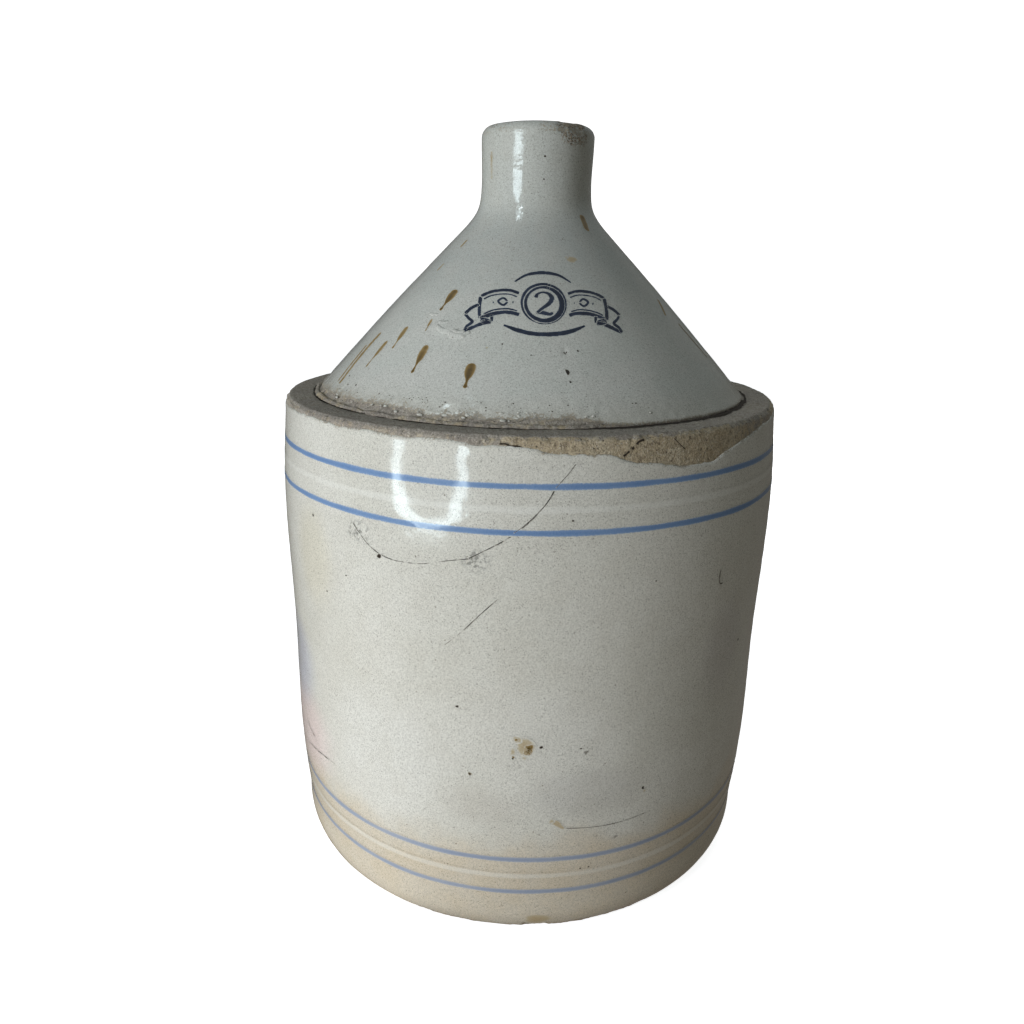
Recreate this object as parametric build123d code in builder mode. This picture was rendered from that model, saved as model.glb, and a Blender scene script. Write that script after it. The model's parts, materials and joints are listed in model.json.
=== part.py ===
from build123d import *
import os

os.makedirs("parts", exist_ok=True)

# Two-gallon stoneware shoulder jug. Millimetres, +Z up, origin at the centre of the base.
# The capacity mark faces -Y and the strap handle stands at the back, on +Y.

# ---- pot: floor, wall and shoulder ledge, jiggered as one piece ----
FOOT_R = 105.8
FOOT_FLARE = 3.4
FOOT_FLARE_Z = 5.0
LEDGE_Z = 218.0
LEDGE_R = 112.3
LEDGE_BEVEL = 1.6
FLOOR_T = 10.5
FLOOR_CORNER_R = 16.0
INSIDE_LOW_R = 104.0
INSIDE_HIGH_R = 105.6
WALL_POINTS = [
    (FOOT_R, 0),
    (FOOT_R + FOOT_FLARE, FOOT_FLARE_Z),
    (111.5, 23.5),
    (113.2, 43.0),
    (113.8, 112.0),
    (114.7, 183.6),
    (LEDGE_R, LEDGE_Z - LEDGE_BEVEL),
]
CORBEL_R = 88.0
CORBEL_START_Z = 192.0
CORBEL_TOP_Z = 208.0
REBATE_R = 98.5
REBATE_DEPTH = 4.5
REBATE_Z = LEDGE_Z - REBATE_DEPTH

# ---- shoulder top: cone and neck, jiggered as one piece ----
CONE_WALL = 8.0
CONE_HEAD_Z = 296.4
NECK_R = 23.9
NECK_LIP_R = 24.3
NECK_SWEEP_R = 26.0
RIM_Z = 331.5
RIM_ROUND_R = 4.0
MOUTH_R = 14.0
MOUTH_ROUND_R = 2.5
MOUTH_SWEEP_R = 18.0

# ---- strap handle, pulled from one strip of clay ----
STRAP_W = 26.0
STRAP_T = 9.5
STRAP_EDGE_R = 4.4
STRAP_BEND_R = 24.0
STRAP_START = (17.4, 308.0)
STRAP_CORNER = (76.5, 311.0)
STRAP_END = (73.4, 239.0)
WAD_LIP = 3.2
WAD_PROUD = 2.6
WAD_ROOT = 8.0
CONE_WAD_SPAN = 20.6
NECK_WAD_RISE = 0.4
CONE_WAD_Y = 72.4

# ---- glaze coats, painted bands and joining slip ----
GLAZE_T = 0.5
GLAZE_TOP_Z = 212.5
GLAZE_LOW_Z = 4.5
SEAM_SLIP_H = 3.4
MOUTH_GLAZE_DEPTH = 5.0
SHOULDER_GLAZE_LOW_Z = LEDGE_Z + SEAM_SLIP_H
MOUTH_GLAZE_Z = RIM_Z - MOUTH_GLAZE_DEPTH
BAND_T = 0.25
BLUE_BAND_W = 2.5
WHITE_BAND_W = 3.2
BLUE_BAND_Z = [200.3, 183.5, 40.9, 23.7]
BLUE_BAND_NODES = ["blue_band_1", "blue_band_2", "blue_band_3", "blue_band_4"]
WHITE_BAND_Z = [191.8, 32.3]
WHITE_BAND_NODES = ["white_band_upper", "white_band_lower"]
SLIP_W = 3.0
SEAM_PART = 2.0


def finish(piece, node):
    """Label a piece and write it as one STEP file."""
    piece.part.label = node
    export_step(piece.part, f"parts/{node}.step")


def on_line(low, high, z):
    """The radius at height z on the straight line between two (radius, height) points."""
    return low[0] + (high[0] - low[0]) * (z - low[1]) / (high[1] - low[1])


def at(profile, r, z):
    """The corner of a profile that stands at radius r and height z."""
    return profile.vertices().sort_by_distance(Vector(r, z))[0]


# The cone's outer generator, and the inner one parallel to it.
CONE_FOOT = (REBATE_R, LEDGE_Z)
CONE_HEAD = (NECK_R, CONE_HEAD_Z)
cone_run = (Vector(*CONE_HEAD) - Vector(*CONE_FOOT)).normalized()
cone_out = Vector(cone_run.Y, -cone_run.X)
inner_low = Vector(*CONE_FOOT) - cone_out * CONE_WALL
inner_high = inner_low + cone_run * CONE_WALL
INNER_CONE = ((inner_low.X, inner_low.Y), (inner_high.X, inner_high.Y))
INNER_FOOT_R = on_line(*INNER_CONE, REBATE_Z)
INNER_HEAD_Z = REBATE_Z + (INNER_FOOT_R - MOUTH_R) * cone_run.Y / -cone_run.X


def wall_curve(grow=0.0):
    """The outside of the pot's wall from foot to ledge, with a rounded foot and a slight swell."""
    return Spline([(r + grow, z) for r, z in WALL_POINTS])


def wall_layer(inner, outer, low, high):
    """A thin layer on the wall, between two distances from the clay and two heights."""
    with BuildSketch(Plane.XZ) as layer:
        with BuildLine():
            inside = wall_curve(inner)
            outside = wall_curve(outer)
            Line(inside @ 0, outside @ 0)
            Line(inside @ 1, outside @ 1)
        make_face()
        with Locations((0, low)):
            Rectangle(2 * LEDGE_R, high - low, align=Align.MIN, mode=Mode.INTERSECT)
    return layer


# ---- the pot: a slightly swelling wall on a rounded foot, with an inward corbel at the top ----
with BuildPart() as body_pot:
    with BuildSketch(Plane.XZ) as pot_profile:
        with BuildLine():
            wall = wall_curve()
            Polyline(
                wall @ 1,
                (LEDGE_R - LEDGE_BEVEL, LEDGE_Z),
                (REBATE_R, LEDGE_Z),
                (REBATE_R, REBATE_Z),
                (CORBEL_R, REBATE_Z),
                (CORBEL_R, CORBEL_TOP_Z),
                (INSIDE_HIGH_R, CORBEL_START_Z),
                (INSIDE_LOW_R, FLOOR_T),
                (0, FLOOR_T),
                (0, 0),
                (FOOT_R, 0),
            )
        make_face()
        fillet(at(pot_profile, INSIDE_LOW_R, FLOOR_T), FLOOR_CORNER_R)
    revolve(axis=Axis.Z)

# ---- the shoulder: a cone that sweeps up into a short neck with a rounded rim ----
with BuildPart() as shoulder_top:
    with BuildSketch(Plane.XZ) as shoulder_profile:
        with BuildLine():
            Polyline(
                CONE_FOOT,
                CONE_HEAD,
                (NECK_LIP_R, RIM_Z),
                (MOUTH_R, RIM_Z),
                (MOUTH_R, INNER_HEAD_Z),
                (INNER_FOOT_R, REBATE_Z),
                (REBATE_R, REBATE_Z),
                close=True,
            )
        make_face()
        fillet(at(shoulder_profile, NECK_R, CONE_HEAD_Z), NECK_SWEEP_R)
        fillet(at(shoulder_profile, MOUTH_R, INNER_HEAD_Z), MOUTH_SWEEP_R)
        fillet(at(shoulder_profile, NECK_LIP_R, RIM_Z), RIM_ROUND_R)
        fillet(at(shoulder_profile, MOUTH_R, RIM_Z), MOUTH_ROUND_R)
    revolve(axis=Axis.Z)

# ---- joining slip: a fillet of soft clay outside the seam and another inside it ----
with BuildPart() as seam_slip_outer:
    with BuildSketch(Plane.XZ):
        with BuildLine():
            Polyline(
                (REBATE_R - SLIP_W, LEDGE_Z),
                (REBATE_R + SLIP_W, LEDGE_Z),
                (REBATE_R - SLIP_W, SHOULDER_GLAZE_LOW_Z),
                close=True,
            )
        make_face()
    revolve(axis=Axis.Z)
    add(shoulder_top.part, mode=Mode.SUBTRACT)

with BuildPart() as seam_slip_inner:
    with BuildSketch(Plane.XZ) as inner_slip_profile:
        with BuildLine():
            Polyline(
                (CORBEL_R, REBATE_Z),
                (INNER_FOOT_R, REBATE_Z),
                (CORBEL_R, REBATE_Z + (INNER_FOOT_R - CORBEL_R) * cone_run.Y / -cone_run.X),
                close=True,
            )
        make_face()
    revolve(axis=Axis.Z)

# ---- the handle: one strap from the neck, out and down to the cone ----
with BuildLine(Plane.YZ) as strap_route:
    FilletPolyline(STRAP_START, STRAP_CORNER, STRAP_END, radius=STRAP_BEND_R)
strap_path = strap_route.wires()[0]
strap_top = Plane(origin=strap_path @ 0, x_dir=(1, 0, 0), z_dir=strap_path % 0)

with BuildPart() as strap_blank:
    with BuildSketch(strap_top):
        RectangleRounded(STRAP_W, STRAP_T, STRAP_EDGE_R)
    sweep(path=strap_path)

with BuildPart() as handle_strap:
    add(strap_blank.part)
    add(shoulder_top.part, mode=Mode.SUBTRACT)

# ---- wads of slip pressed round the handle's two roots ----
neck_wad_plane = Plane(origin=(0, NECK_R, STRAP_START[1] + NECK_WAD_RISE), x_dir=(1, 0, 0), z_dir=(0, 1, 0))
cone_wad_z = CONE_FOOT[1] + (CONE_FOOT[0] - CONE_WAD_Y) * cone_run.Y / -cone_run.X
cone_wad_plane = Plane(
    origin=(0, CONE_WAD_Y, cone_wad_z), x_dir=(1, 0, 0), z_dir=(0, cone_out.X, cone_out.Y)
)
with BuildPart() as neck_wad_blank:
    with BuildSketch(neck_wad_plane.offset(-WAD_ROOT)):
        RectangleRounded(STRAP_W + 2 * WAD_LIP, STRAP_T + 2 * WAD_LIP, STRAP_EDGE_R + WAD_LIP)
    extrude(amount=WAD_ROOT + WAD_PROUD)

with BuildPart() as cone_wad_blank:
    with BuildSketch(cone_wad_plane.offset(-WAD_ROOT)):
        RectangleRounded(STRAP_W + 2 * WAD_LIP, CONE_WAD_SPAN, STRAP_EDGE_R + WAD_LIP)
    extrude(amount=WAD_ROOT + WAD_PROUD)

with BuildPart() as handle_slip_upper:
    add(neck_wad_blank.part)
    add(strap_blank.part, mode=Mode.SUBTRACT)
    add(shoulder_top.part, mode=Mode.SUBTRACT)

with BuildPart() as handle_slip_lower:
    add(cone_wad_blank.part)
    add(strap_blank.part, mode=Mode.SUBTRACT)
    add(shoulder_top.part, mode=Mode.SUBTRACT)

# ---- glaze: one coat all over the fired clay's section, then parted into its separate coats ----
with BuildSketch(Plane.XZ) as clay_profile:
    add(pot_profile.sketch_local)
    add(shoulder_profile.sketch_local)
    add(inner_slip_profile.sketch_local)

with BuildSketch(Plane.XZ) as coat_profile:
    add(clay_profile.sketch_local)
    offset(amount=GLAZE_T)
    add(clay_profile.sketch_local, mode=Mode.SUBTRACT)

MID_WALL_R = (INSIDE_HIGH_R + LEDGE_R) / 2
MID_CONE_R = (INNER_FOOT_R + REBATE_R) / 2
MID_NECK_R = (MOUTH_R + NECK_R) / 2
with BuildSketch(Plane.XZ) as inner_half:
    with BuildLine():
        Polyline(
            (0, FLOOR_T / 2),
            (MID_WALL_R, FLOOR_T / 2),
            (MID_WALL_R, CORBEL_START_Z),
            (MID_CONE_R, REBATE_Z - SEAM_PART),
            (MID_CONE_R, REBATE_Z),
            (MID_NECK_R, CONE_HEAD_Z),
            (MID_NECK_R, MOUTH_GLAZE_Z),
            (0, MOUTH_GLAZE_Z),
            close=True,
        )
    make_face()

# Blue and white bands, painted on the white coat and sunk into it.
bands = {}
band_profiles = []
for nodes, heights, width in (
    (BLUE_BAND_NODES, BLUE_BAND_Z, BLUE_BAND_W),
    (WHITE_BAND_NODES, WHITE_BAND_Z, WHITE_BAND_W),
):
    for node, height in zip(nodes, heights):
        band_profile = wall_layer(GLAZE_T - BAND_T, GLAZE_T, height - width / 2, height + width / 2)
        with BuildPart() as band:
            add(band_profile.sketch)
            revolve(axis=Axis.Z)
        bands[node] = band
        band_profiles.append(band_profile)

# The white coat outside the pot, with a shallow place for each band.
pot_coat_profile = wall_layer(0, GLAZE_T, GLAZE_LOW_Z, GLAZE_TOP_Z)
with BuildPart() as body_glaze:
    with BuildSketch(Plane.XZ):
        add(pot_coat_profile.sketch_local)
        for band_profile in band_profiles:
            add(band_profile.sketch_local, mode=Mode.SUBTRACT)
    revolve(axis=Axis.Z)

# The coat on the cone and neck, over the rim and a little way into the mouth.
with BuildPart() as shoulder_glaze:
    with BuildSketch(Plane.XZ):
        add(coat_profile.sketch_local)
        with Locations((0, SHOULDER_GLAZE_LOW_Z)):
            Rectangle(LEDGE_R, RIM_Z, align=Align.MIN, mode=Mode.INTERSECT)
        add(inner_half.sketch_local, mode=Mode.SUBTRACT)
    revolve(axis=Axis.Z)
    for blank in (strap_blank, neck_wad_blank, cone_wad_blank):
        add(blank.part, mode=Mode.SUBTRACT)

# The brown slip swilled round the inside, from the floor to the coat in the mouth.
with BuildPart() as lining_slip:
    with BuildSketch(Plane.XZ):
        add(coat_profile.sketch_local)
        add(inner_half.sketch_local, mode=Mode.INTERSECT)
    revolve(axis=Axis.Z)

# The coat round the handle, between its two wads.
with BuildPart() as handle_glaze:
    with BuildSketch(strap_top):
        RectangleRounded(STRAP_W + 2 * GLAZE_T, STRAP_T + 2 * GLAZE_T, STRAP_EDGE_R + GLAZE_T)
    sweep(path=strap_path)
    for blank in (strap_blank, neck_wad_blank, cone_wad_blank, shoulder_top):
        add(blank.part, mode=Mode.SUBTRACT)

finish(body_pot, "body_pot")
finish(shoulder_top, "shoulder_top")
finish(seam_slip_outer, "seam_slip_outer")
finish(seam_slip_inner, "seam_slip_inner")
finish(handle_strap, "handle_strap")
finish(handle_slip_upper, "handle_slip_upper")
finish(handle_slip_lower, "handle_slip_lower")
finish(body_glaze, "body_glaze")
finish(shoulder_glaze, "shoulder_glaze")
finish(handle_glaze, "handle_glaze")
finish(lining_slip, "lining_slip")
for node, band in bands.items():
    finish(band, node)
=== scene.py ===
import json
import math

import bpy
import numpy as np
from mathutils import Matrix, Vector

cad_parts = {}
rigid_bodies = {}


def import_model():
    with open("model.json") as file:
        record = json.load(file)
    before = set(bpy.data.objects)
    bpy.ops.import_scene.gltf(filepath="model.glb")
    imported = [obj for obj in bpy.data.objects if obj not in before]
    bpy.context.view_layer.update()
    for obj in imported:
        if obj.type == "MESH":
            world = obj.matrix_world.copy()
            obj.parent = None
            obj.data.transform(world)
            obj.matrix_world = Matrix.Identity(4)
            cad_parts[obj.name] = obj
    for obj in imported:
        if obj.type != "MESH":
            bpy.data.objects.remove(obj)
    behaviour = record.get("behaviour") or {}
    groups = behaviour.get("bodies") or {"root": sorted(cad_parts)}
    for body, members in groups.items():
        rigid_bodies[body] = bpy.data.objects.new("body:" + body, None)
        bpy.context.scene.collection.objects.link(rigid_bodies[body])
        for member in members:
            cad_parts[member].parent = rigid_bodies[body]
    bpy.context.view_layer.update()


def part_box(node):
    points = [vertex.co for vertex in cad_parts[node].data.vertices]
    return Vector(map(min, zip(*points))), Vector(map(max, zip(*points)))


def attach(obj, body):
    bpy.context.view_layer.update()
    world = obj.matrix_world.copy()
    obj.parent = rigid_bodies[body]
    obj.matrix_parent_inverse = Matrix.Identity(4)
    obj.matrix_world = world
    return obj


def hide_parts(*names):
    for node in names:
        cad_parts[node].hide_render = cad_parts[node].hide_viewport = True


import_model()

# A two-gallon stoneware shoulder jug. Sizes below are in millimetres, angles in degrees.
# Azimuth 0 faces -Y and grows towards +X. Meshes are turned into metres when they are made.
MM = 0.001
LEDGE_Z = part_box("body_pot")[1].z / MM
RIM_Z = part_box("shoulder_top")[1].z / MM
SLIP_TOP_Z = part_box("seam_slip_outer")[1].z / MM

WALL_R = 114.0  # the wall's nominal radius, for noise and marks that needn't follow its curve
WALL_CURVE = [(105.8, 0), (109.2, 5), (111.5, 23.5), (113.2, 43), (113.8, 112), (114.7, 183.6), (112.3, 216.4)]
BEVEL_R = 110.7
REBATE_R, REBATE_Z = 98.5, LEDGE_Z - 4.5
CORBEL_R, CORBEL_Z = 88.0, 208.0
FLOOR_Z = 10.5
CONE_SLOPE = 0.9515
CONE_CROWN = 1.6
CONE_Z = RIM_Z - LEDGE_Z - 35.0
NECK_R, NECK_FLARE, NECK_BLEND = 23.9, 0.4, 3.0
RIM_ROUND, MOUTH_R, MOUTH_ROUND, COAT_IN_MOUTH = 4.0, 14.0, 2.5, 5.0
COAT = 0.5
LEAN, NECK_LEAN = 0.0032, 0.0114  # sideways per mm of height


# ---------------- numbers
def cubic(x, xs, ys):
    """A smooth curve through the points (xs, ys), read at x."""
    xs, ys = np.asarray(xs, float), np.asarray(ys, float)
    h, d = np.diff(xs), np.diff(ys) / np.diff(xs)
    m = np.empty_like(ys)
    m[0], m[-1] = d[0], d[-1]
    m[1:-1] = (d[:-1] * h[1:] + d[1:] * h[:-1]) / (h[:-1] + h[1:])
    x = np.clip(np.asarray(x, float), xs[0], xs[-1])
    i = np.clip(np.searchsorted(xs, x, side="right") - 1, 0, len(h) - 1)
    t, w = (x - xs[i]) / h[i], h[i]
    return ((1 + 2 * t) * (1 - t) ** 2 * ys[i] + t * (1 - t) ** 2 * w * m[i]
            + t * t * (3 - 2 * t) * ys[i + 1] + t * t * (t - 1) * w * m[i + 1])


def step(x, low, high):
    """0 below low, 1 above high, smooth between."""
    t = np.clip((np.asarray(x, float) - low) / (high - low), 0, 1)
    return t * t * (3 - 2 * t)


def bump(x, centre, width):
    return np.exp(-((np.asarray(x, float) - centre) / width) ** 2)


def lattice(i, j, k, seed):
    """A repeatable value from 0 to 1 at each whole-number point."""
    h = (i * 374761393 + j * 668265263 + k * 1274126177 + seed * 974634777) & 0xFFFFFFFF
    h = ((h ^ (h >> 13)) * 1103515245) & 0xFFFFFFFF
    h = ((h ^ (h >> 16)) * 1274126177) & 0xFFFFFFFF
    return ((h ^ (h >> 15)) & 0xFFFFFF) / 0xFFFFFF


def noise(p, size, seed=1, octaves=1):
    """Smooth noise from about -1 to 1 at points p, with features of that size in mm."""
    total, weight, share = 0.0, 0.0, 1.0
    for o in range(octaves):
        q = np.asarray(p, float) / size
        cell = np.floor(q).astype(np.int64)
        f = q - cell
        f = f * f * (3 - 2 * f)
        value = 0.0
        for dx in (0, 1):
            for dy in (0, 1):
                for dz in (0, 1):
                    w = (f[..., 0] if dx else 1 - f[..., 0]) * (f[..., 1] if dy else 1 - f[..., 1])
                    w = w * (f[..., 2] if dz else 1 - f[..., 2])
                    value = value + w * lattice(cell[..., 0] + dx, cell[..., 1] + dy, cell[..., 2] + dz, seed + o)
        total, weight = total + share * (value * 2 - 1), weight + share
        size, share = size / 2.1, share * 0.55
    return total / weight


# ---------------- the jug's surfaces
def around(cols):
    """Azimuths of evenly spaced columns, from -180."""
    return np.arange(cols) * 360.0 / cols - 180.0


def wrap(az):
    return (np.asarray(az, float) + 180.0) % 360.0 - 180.0


def place(az, r, z):
    """Points at azimuth, radius and height, on the jug's slightly leaning axis."""
    a = np.radians(az)
    a, r, z = np.broadcast_arrays(a, r, z)
    shift = LEAN * z + NECK_LEAN * np.maximum(z - LEDGE_Z, 0)
    return np.stack([r * np.sin(a) + shift, -r * np.cos(a), z], -1)


def wall_r(z):
    rs, zs = zip(*WALL_CURVE)
    return cubic(z, zs, rs)


def cone_r(z):
    u = np.clip((z - LEDGE_Z) / CONE_Z, 0, 1)
    line = REBATE_R - CONE_SLOPE * (z - LEDGE_Z) + 4 * CONE_CROWN * u * (1 - u)
    swept = NECK_R + NECK_BLEND * np.log1p(np.exp(np.clip((line - NECK_R) / NECK_BLEND, -40, 40)))
    return swept + NECK_FLARE * step(z, RIM_Z - 22, RIM_Z - 6)


def wall_relief(az, z):
    """Out of round, throwing rings and soft dents of the pot's wall."""
    p = place(az, WALL_R, z)
    rings = 0.045 * np.sin(z / 1.7 + 0.6 * np.sin(z / 11)) * (0.6 + 0.4 * noise(p, 60, 3))
    return 0.22 * noise(p, 90, 11) + 0.10 * noise(p, 24, 12) + 0.05 * noise(p, 7, 13) + rings


BLISTERS = [  # azimuth, height, half width, half height, rise
    (-29.0, 250.2, 5.2, 1.8, 0.55), (-25.0, 248.6, 2.6, 0.9, 0.5), (-21.5, 247.2, 1.7, 0.8, 0.35),
    (-33.5, 250.6, 1.9, 0.9, 0.35), (-38.6, 254.6, 1.6, 0.6, 0.2), (9.8, 243.4, 0.9, 1.2, -0.35),
]


def cone_relief(az, z):
    """Soft unevenness of the cone and neck, a few blisters, and crawled glaze above the seam."""
    p = place(az, cone_r(z), z)
    soft = 0.25 * noise(p, 60, 21) + 0.10 * noise(p, 16, 22) + 0.05 * noise(p, 5, 23)
    for a, h, w, t, rise in BLISTERS:
        across = np.radians(az - a) * cone_r(z)
        soft = soft + rise * np.exp(-((across / w) ** 2 + ((z - h) / t) ** 2)) * (1 + 0.5 * noise(p, 1.6, 24))
    crawl = step(z, SLIP_TOP_Z + 8.5, SLIP_TOP_Z + 1.5) * (0.35 + 0.65 * bump(wrap(az), -18, 42))
    return soft + crawl * (0.42 * noise(p, 3.1, 25, 2) + 0.15 * noise(p, 1.3, 26))


def on_wall(az, z, lift=0.0):
    """The glazed outside of the pot."""
    return place(az, wall_r(z) + COAT + wall_relief(az, z) + lift, z)


def on_clay(az, z, lift=0.0):
    """The bare outside of the pot."""
    return place(az, wall_r(z) + wall_relief(az, z) + lift, z)


def on_cone(az, z, lift=0.0):
    """The glazed outside of the cone and neck. lift is along the surface's normal."""
    slope = (cone_r(z + 0.5) - cone_r(z - 0.5))
    length = np.sqrt(1 + slope ** 2)
    out = COAT + cone_relief(az, z) + lift
    return place(az, cone_r(z) + out / length, z - out * slope / length)


def on_ledge(az, r, lift=0.0):
    return place(az, r, LEDGE_Z + lift)


# ---------------- mesh making
def mesh_piece(name, points, faces, material, marks=None):
    """One smooth-shaded mesh object from points in mm, with named values on its points."""
    mesh = bpy.data.meshes.new(name)
    mesh.from_pydata((np.asarray(points, float) * MM).tolist(), [], np.asarray(faces).tolist())
    mesh.polygons.foreach_set("use_smooth", np.ones(len(mesh.polygons), bool))
    for mark, values in (marks or {}).items():
        mesh.attributes.new(mark, "FLOAT", "POINT").data.foreach_set("value", np.asarray(values, np.float32).ravel())
    mesh.materials.append(material)
    mesh.update()
    piece = bpy.data.objects.new(name, mesh)
    bpy.context.scene.collection.objects.link(piece)
    return piece


def grid_faces(rows, cols, closed, start=0):
    i = np.arange(rows * cols).reshape(rows, cols) + start
    j = np.roll(i, -1, axis=1) if closed else i[:, 1:]
    i = i if closed else i[:, :-1]
    return np.stack([i[:-1], j[:-1], j[1:], i[1:]], -1).reshape(-1, 4)


def sheet(name, points, material, marks=None, closed=True):
    """A mesh over a (rows, columns) grid of points."""
    rows, cols = points.shape[:2]
    return mesh_piece(name, points.reshape(-1, 3), grid_faces(rows, cols, closed), material, marks)


class Bundle:
    """Several small grids gathered into one mesh."""

    def __init__(self):
        self.points, self.faces, self.marks, self.count = [], [], [], 0

    def add(self, points, marks, closed=False):
        rows, cols = points.shape[:2]
        self.points.append(points.reshape(-1, 3))
        self.faces.append(grid_faces(rows, cols, closed, self.count))
        self.marks.append(np.broadcast_to(marks, (rows, cols)).ravel())
        self.count += rows * cols

    def piece(self, name, material):
        return mesh_piece(name, np.concatenate(self.points), np.concatenate(self.faces), material,
                          {"mark": np.concatenate(self.marks)})


def keep(piece, slot, *nodes):
    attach(piece, "root")
    if nodes:
        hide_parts(*nodes)
    return piece


def rounded(corners, pitch=1.2):
    """A dense line of (r, z) through corners (r, z, rounding)."""
    line = [np.array(corners[0][:2], float)]
    for a, b, c in zip(corners, corners[1:], corners[2:]):
        here = np.array(b[:2], float)
        back, on = np.array(a[:2], float) - here, np.array(c[:2], float) - here
        back, on = back / np.linalg.norm(back), on / np.linalg.norm(on)
        half = math.acos(max(-1, min(1, float(back @ on)))) / 2
        if b[2] <= 0:
            line.append(here)
            continue
        reach = b[2] / math.tan(half)
        middle = here + (back + on) / np.linalg.norm(back + on) * b[2] / math.sin(half)
        first, last = here + back * reach - middle, here + on * reach - middle
        turn = math.pi - 2 * half
        for t in np.linspace(0, 1, max(3, int(turn * b[2] / 0.6) + 2)):
            line.append(middle + (first * math.sin((1 - t) * turn) + last * math.sin(t * turn)) / math.sin(turn))
    line.append(np.array(corners[-1][:2], float))
    dense = [line[0]]
    for a, b in zip(line, line[1:]):
        n = max(1, int(np.linalg.norm(b - a) / pitch))
        dense += [a + (b - a) * k / n for k in range(1, n + 1)]
    return np.array(dense)


def normals(line):
    run = np.gradient(line, axis=0)
    run /= np.maximum(np.linalg.norm(run, axis=1, keepdims=True), 1e-9)
    return np.stack([run[:, 1], -run[:, 0]], -1)


# ---------------- flat marks that follow a surface
def chart(surface, radius, rise, az0, z0):
    """A map from (across, up) mm round a point of a surface to the surface itself."""
    def to(s, t, lift):
        z = z0 + t * rise
        return surface(az0 + np.degrees(s / radius(z)), z, lift)
    return to


CONE_RISE = 1 / math.sqrt(1 + CONE_SLOPE ** 2)


def cone_chart(az0, z0):
    return chart(on_cone, cone_r, CONE_RISE if z0 < LEDGE_Z + CONE_Z - 6 else 1.0, az0, z0)


def wall_chart(az0, z0, surface=on_wall):
    return chart(surface, wall_r, 1.0, az0, z0)


def resample(path, pitch):
    """A smooth line through (s, t, half width, strength) points, evenly spaced."""
    path = np.array(path, float)
    way = np.concatenate([[0], np.cumsum(np.linalg.norm(np.diff(path[:, :2], axis=0), axis=1))])
    at = np.linspace(0, way[-1], max(4, int(way[-1] / pitch) + 1))
    return np.stack([cubic(at, way, path[:, k]) for k in range(path.shape[1])], -1)


def ribbon(bundle, to, path, lift=0.04, pitch=0.5, across=7, seed=5, ragged=0.15, dome=0.0):
    """A stroke of changing width, strongest along its middle."""
    line = resample(path, pitch)
    run = np.gradient(line[:, :2], axis=0)
    run /= np.maximum(np.linalg.norm(run, axis=1, keepdims=True), 1e-9)
    side = np.stack([-run[:, 1], run[:, 0]], -1)
    k = np.linspace(-1, 1, across)
    s = line[:, 0][:, None] + side[:, 0][:, None] * k * line[:, 2][:, None]
    t = line[:, 1][:, None] + side[:, 1][:, None] * k * line[:, 2][:, None]
    flat = np.stack([s, t, np.full_like(s, seed * 7.3)], -1)
    mark = (1 - k ** 2)[None, :] * line[:, 3][:, None]
    ends = np.minimum(np.arange(len(line)), np.arange(len(line))[::-1]) / 1.5
    uneven = 1 + ragged * noise(flat, 1.4, seed) + ragged * noise(flat, 5.5, seed + 3)
    mark = np.clip(mark * np.clip(ends, 0, 1)[:, None] * uneven, 0, 1)
    bundle.add(to(s, t, lift + dome * mark), mark)


def spot(bundle, to, radius, s0=0.0, t0=0.0, tall=1.0, strength=1.0, lift=0.04, seed=1, uneven=0.25, dome=0.0):
    """A roundish patch, strongest in the middle."""
    ring = np.linspace(0.02, 1, 8)[:, None]
    angle = np.linspace(0, 2 * math.pi, 33)[:-1]
    shape = np.stack([np.cos(angle), np.sin(angle), np.full_like(angle, seed * 3.7)], -1)
    reach = radius * (1 + uneven * noise(shape, 0.8, seed))
    s, t = s0 + ring * reach * np.cos(angle), t0 + ring * reach * np.sin(angle) * tall
    mark = strength * (1 - ring ** 2) * np.ones_like(angle)
    bundle.add(to(s, t, lift + dome * mark), mark, closed=True)


# ---------------- materials
def srgb(r, g, b):
    return tuple(((c / 255 + 0.055) / 1.055) ** 2.4 if c > 10.3 else c / 255 / 12.92 for c in (r, g, b)) + (1.0,)


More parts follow.
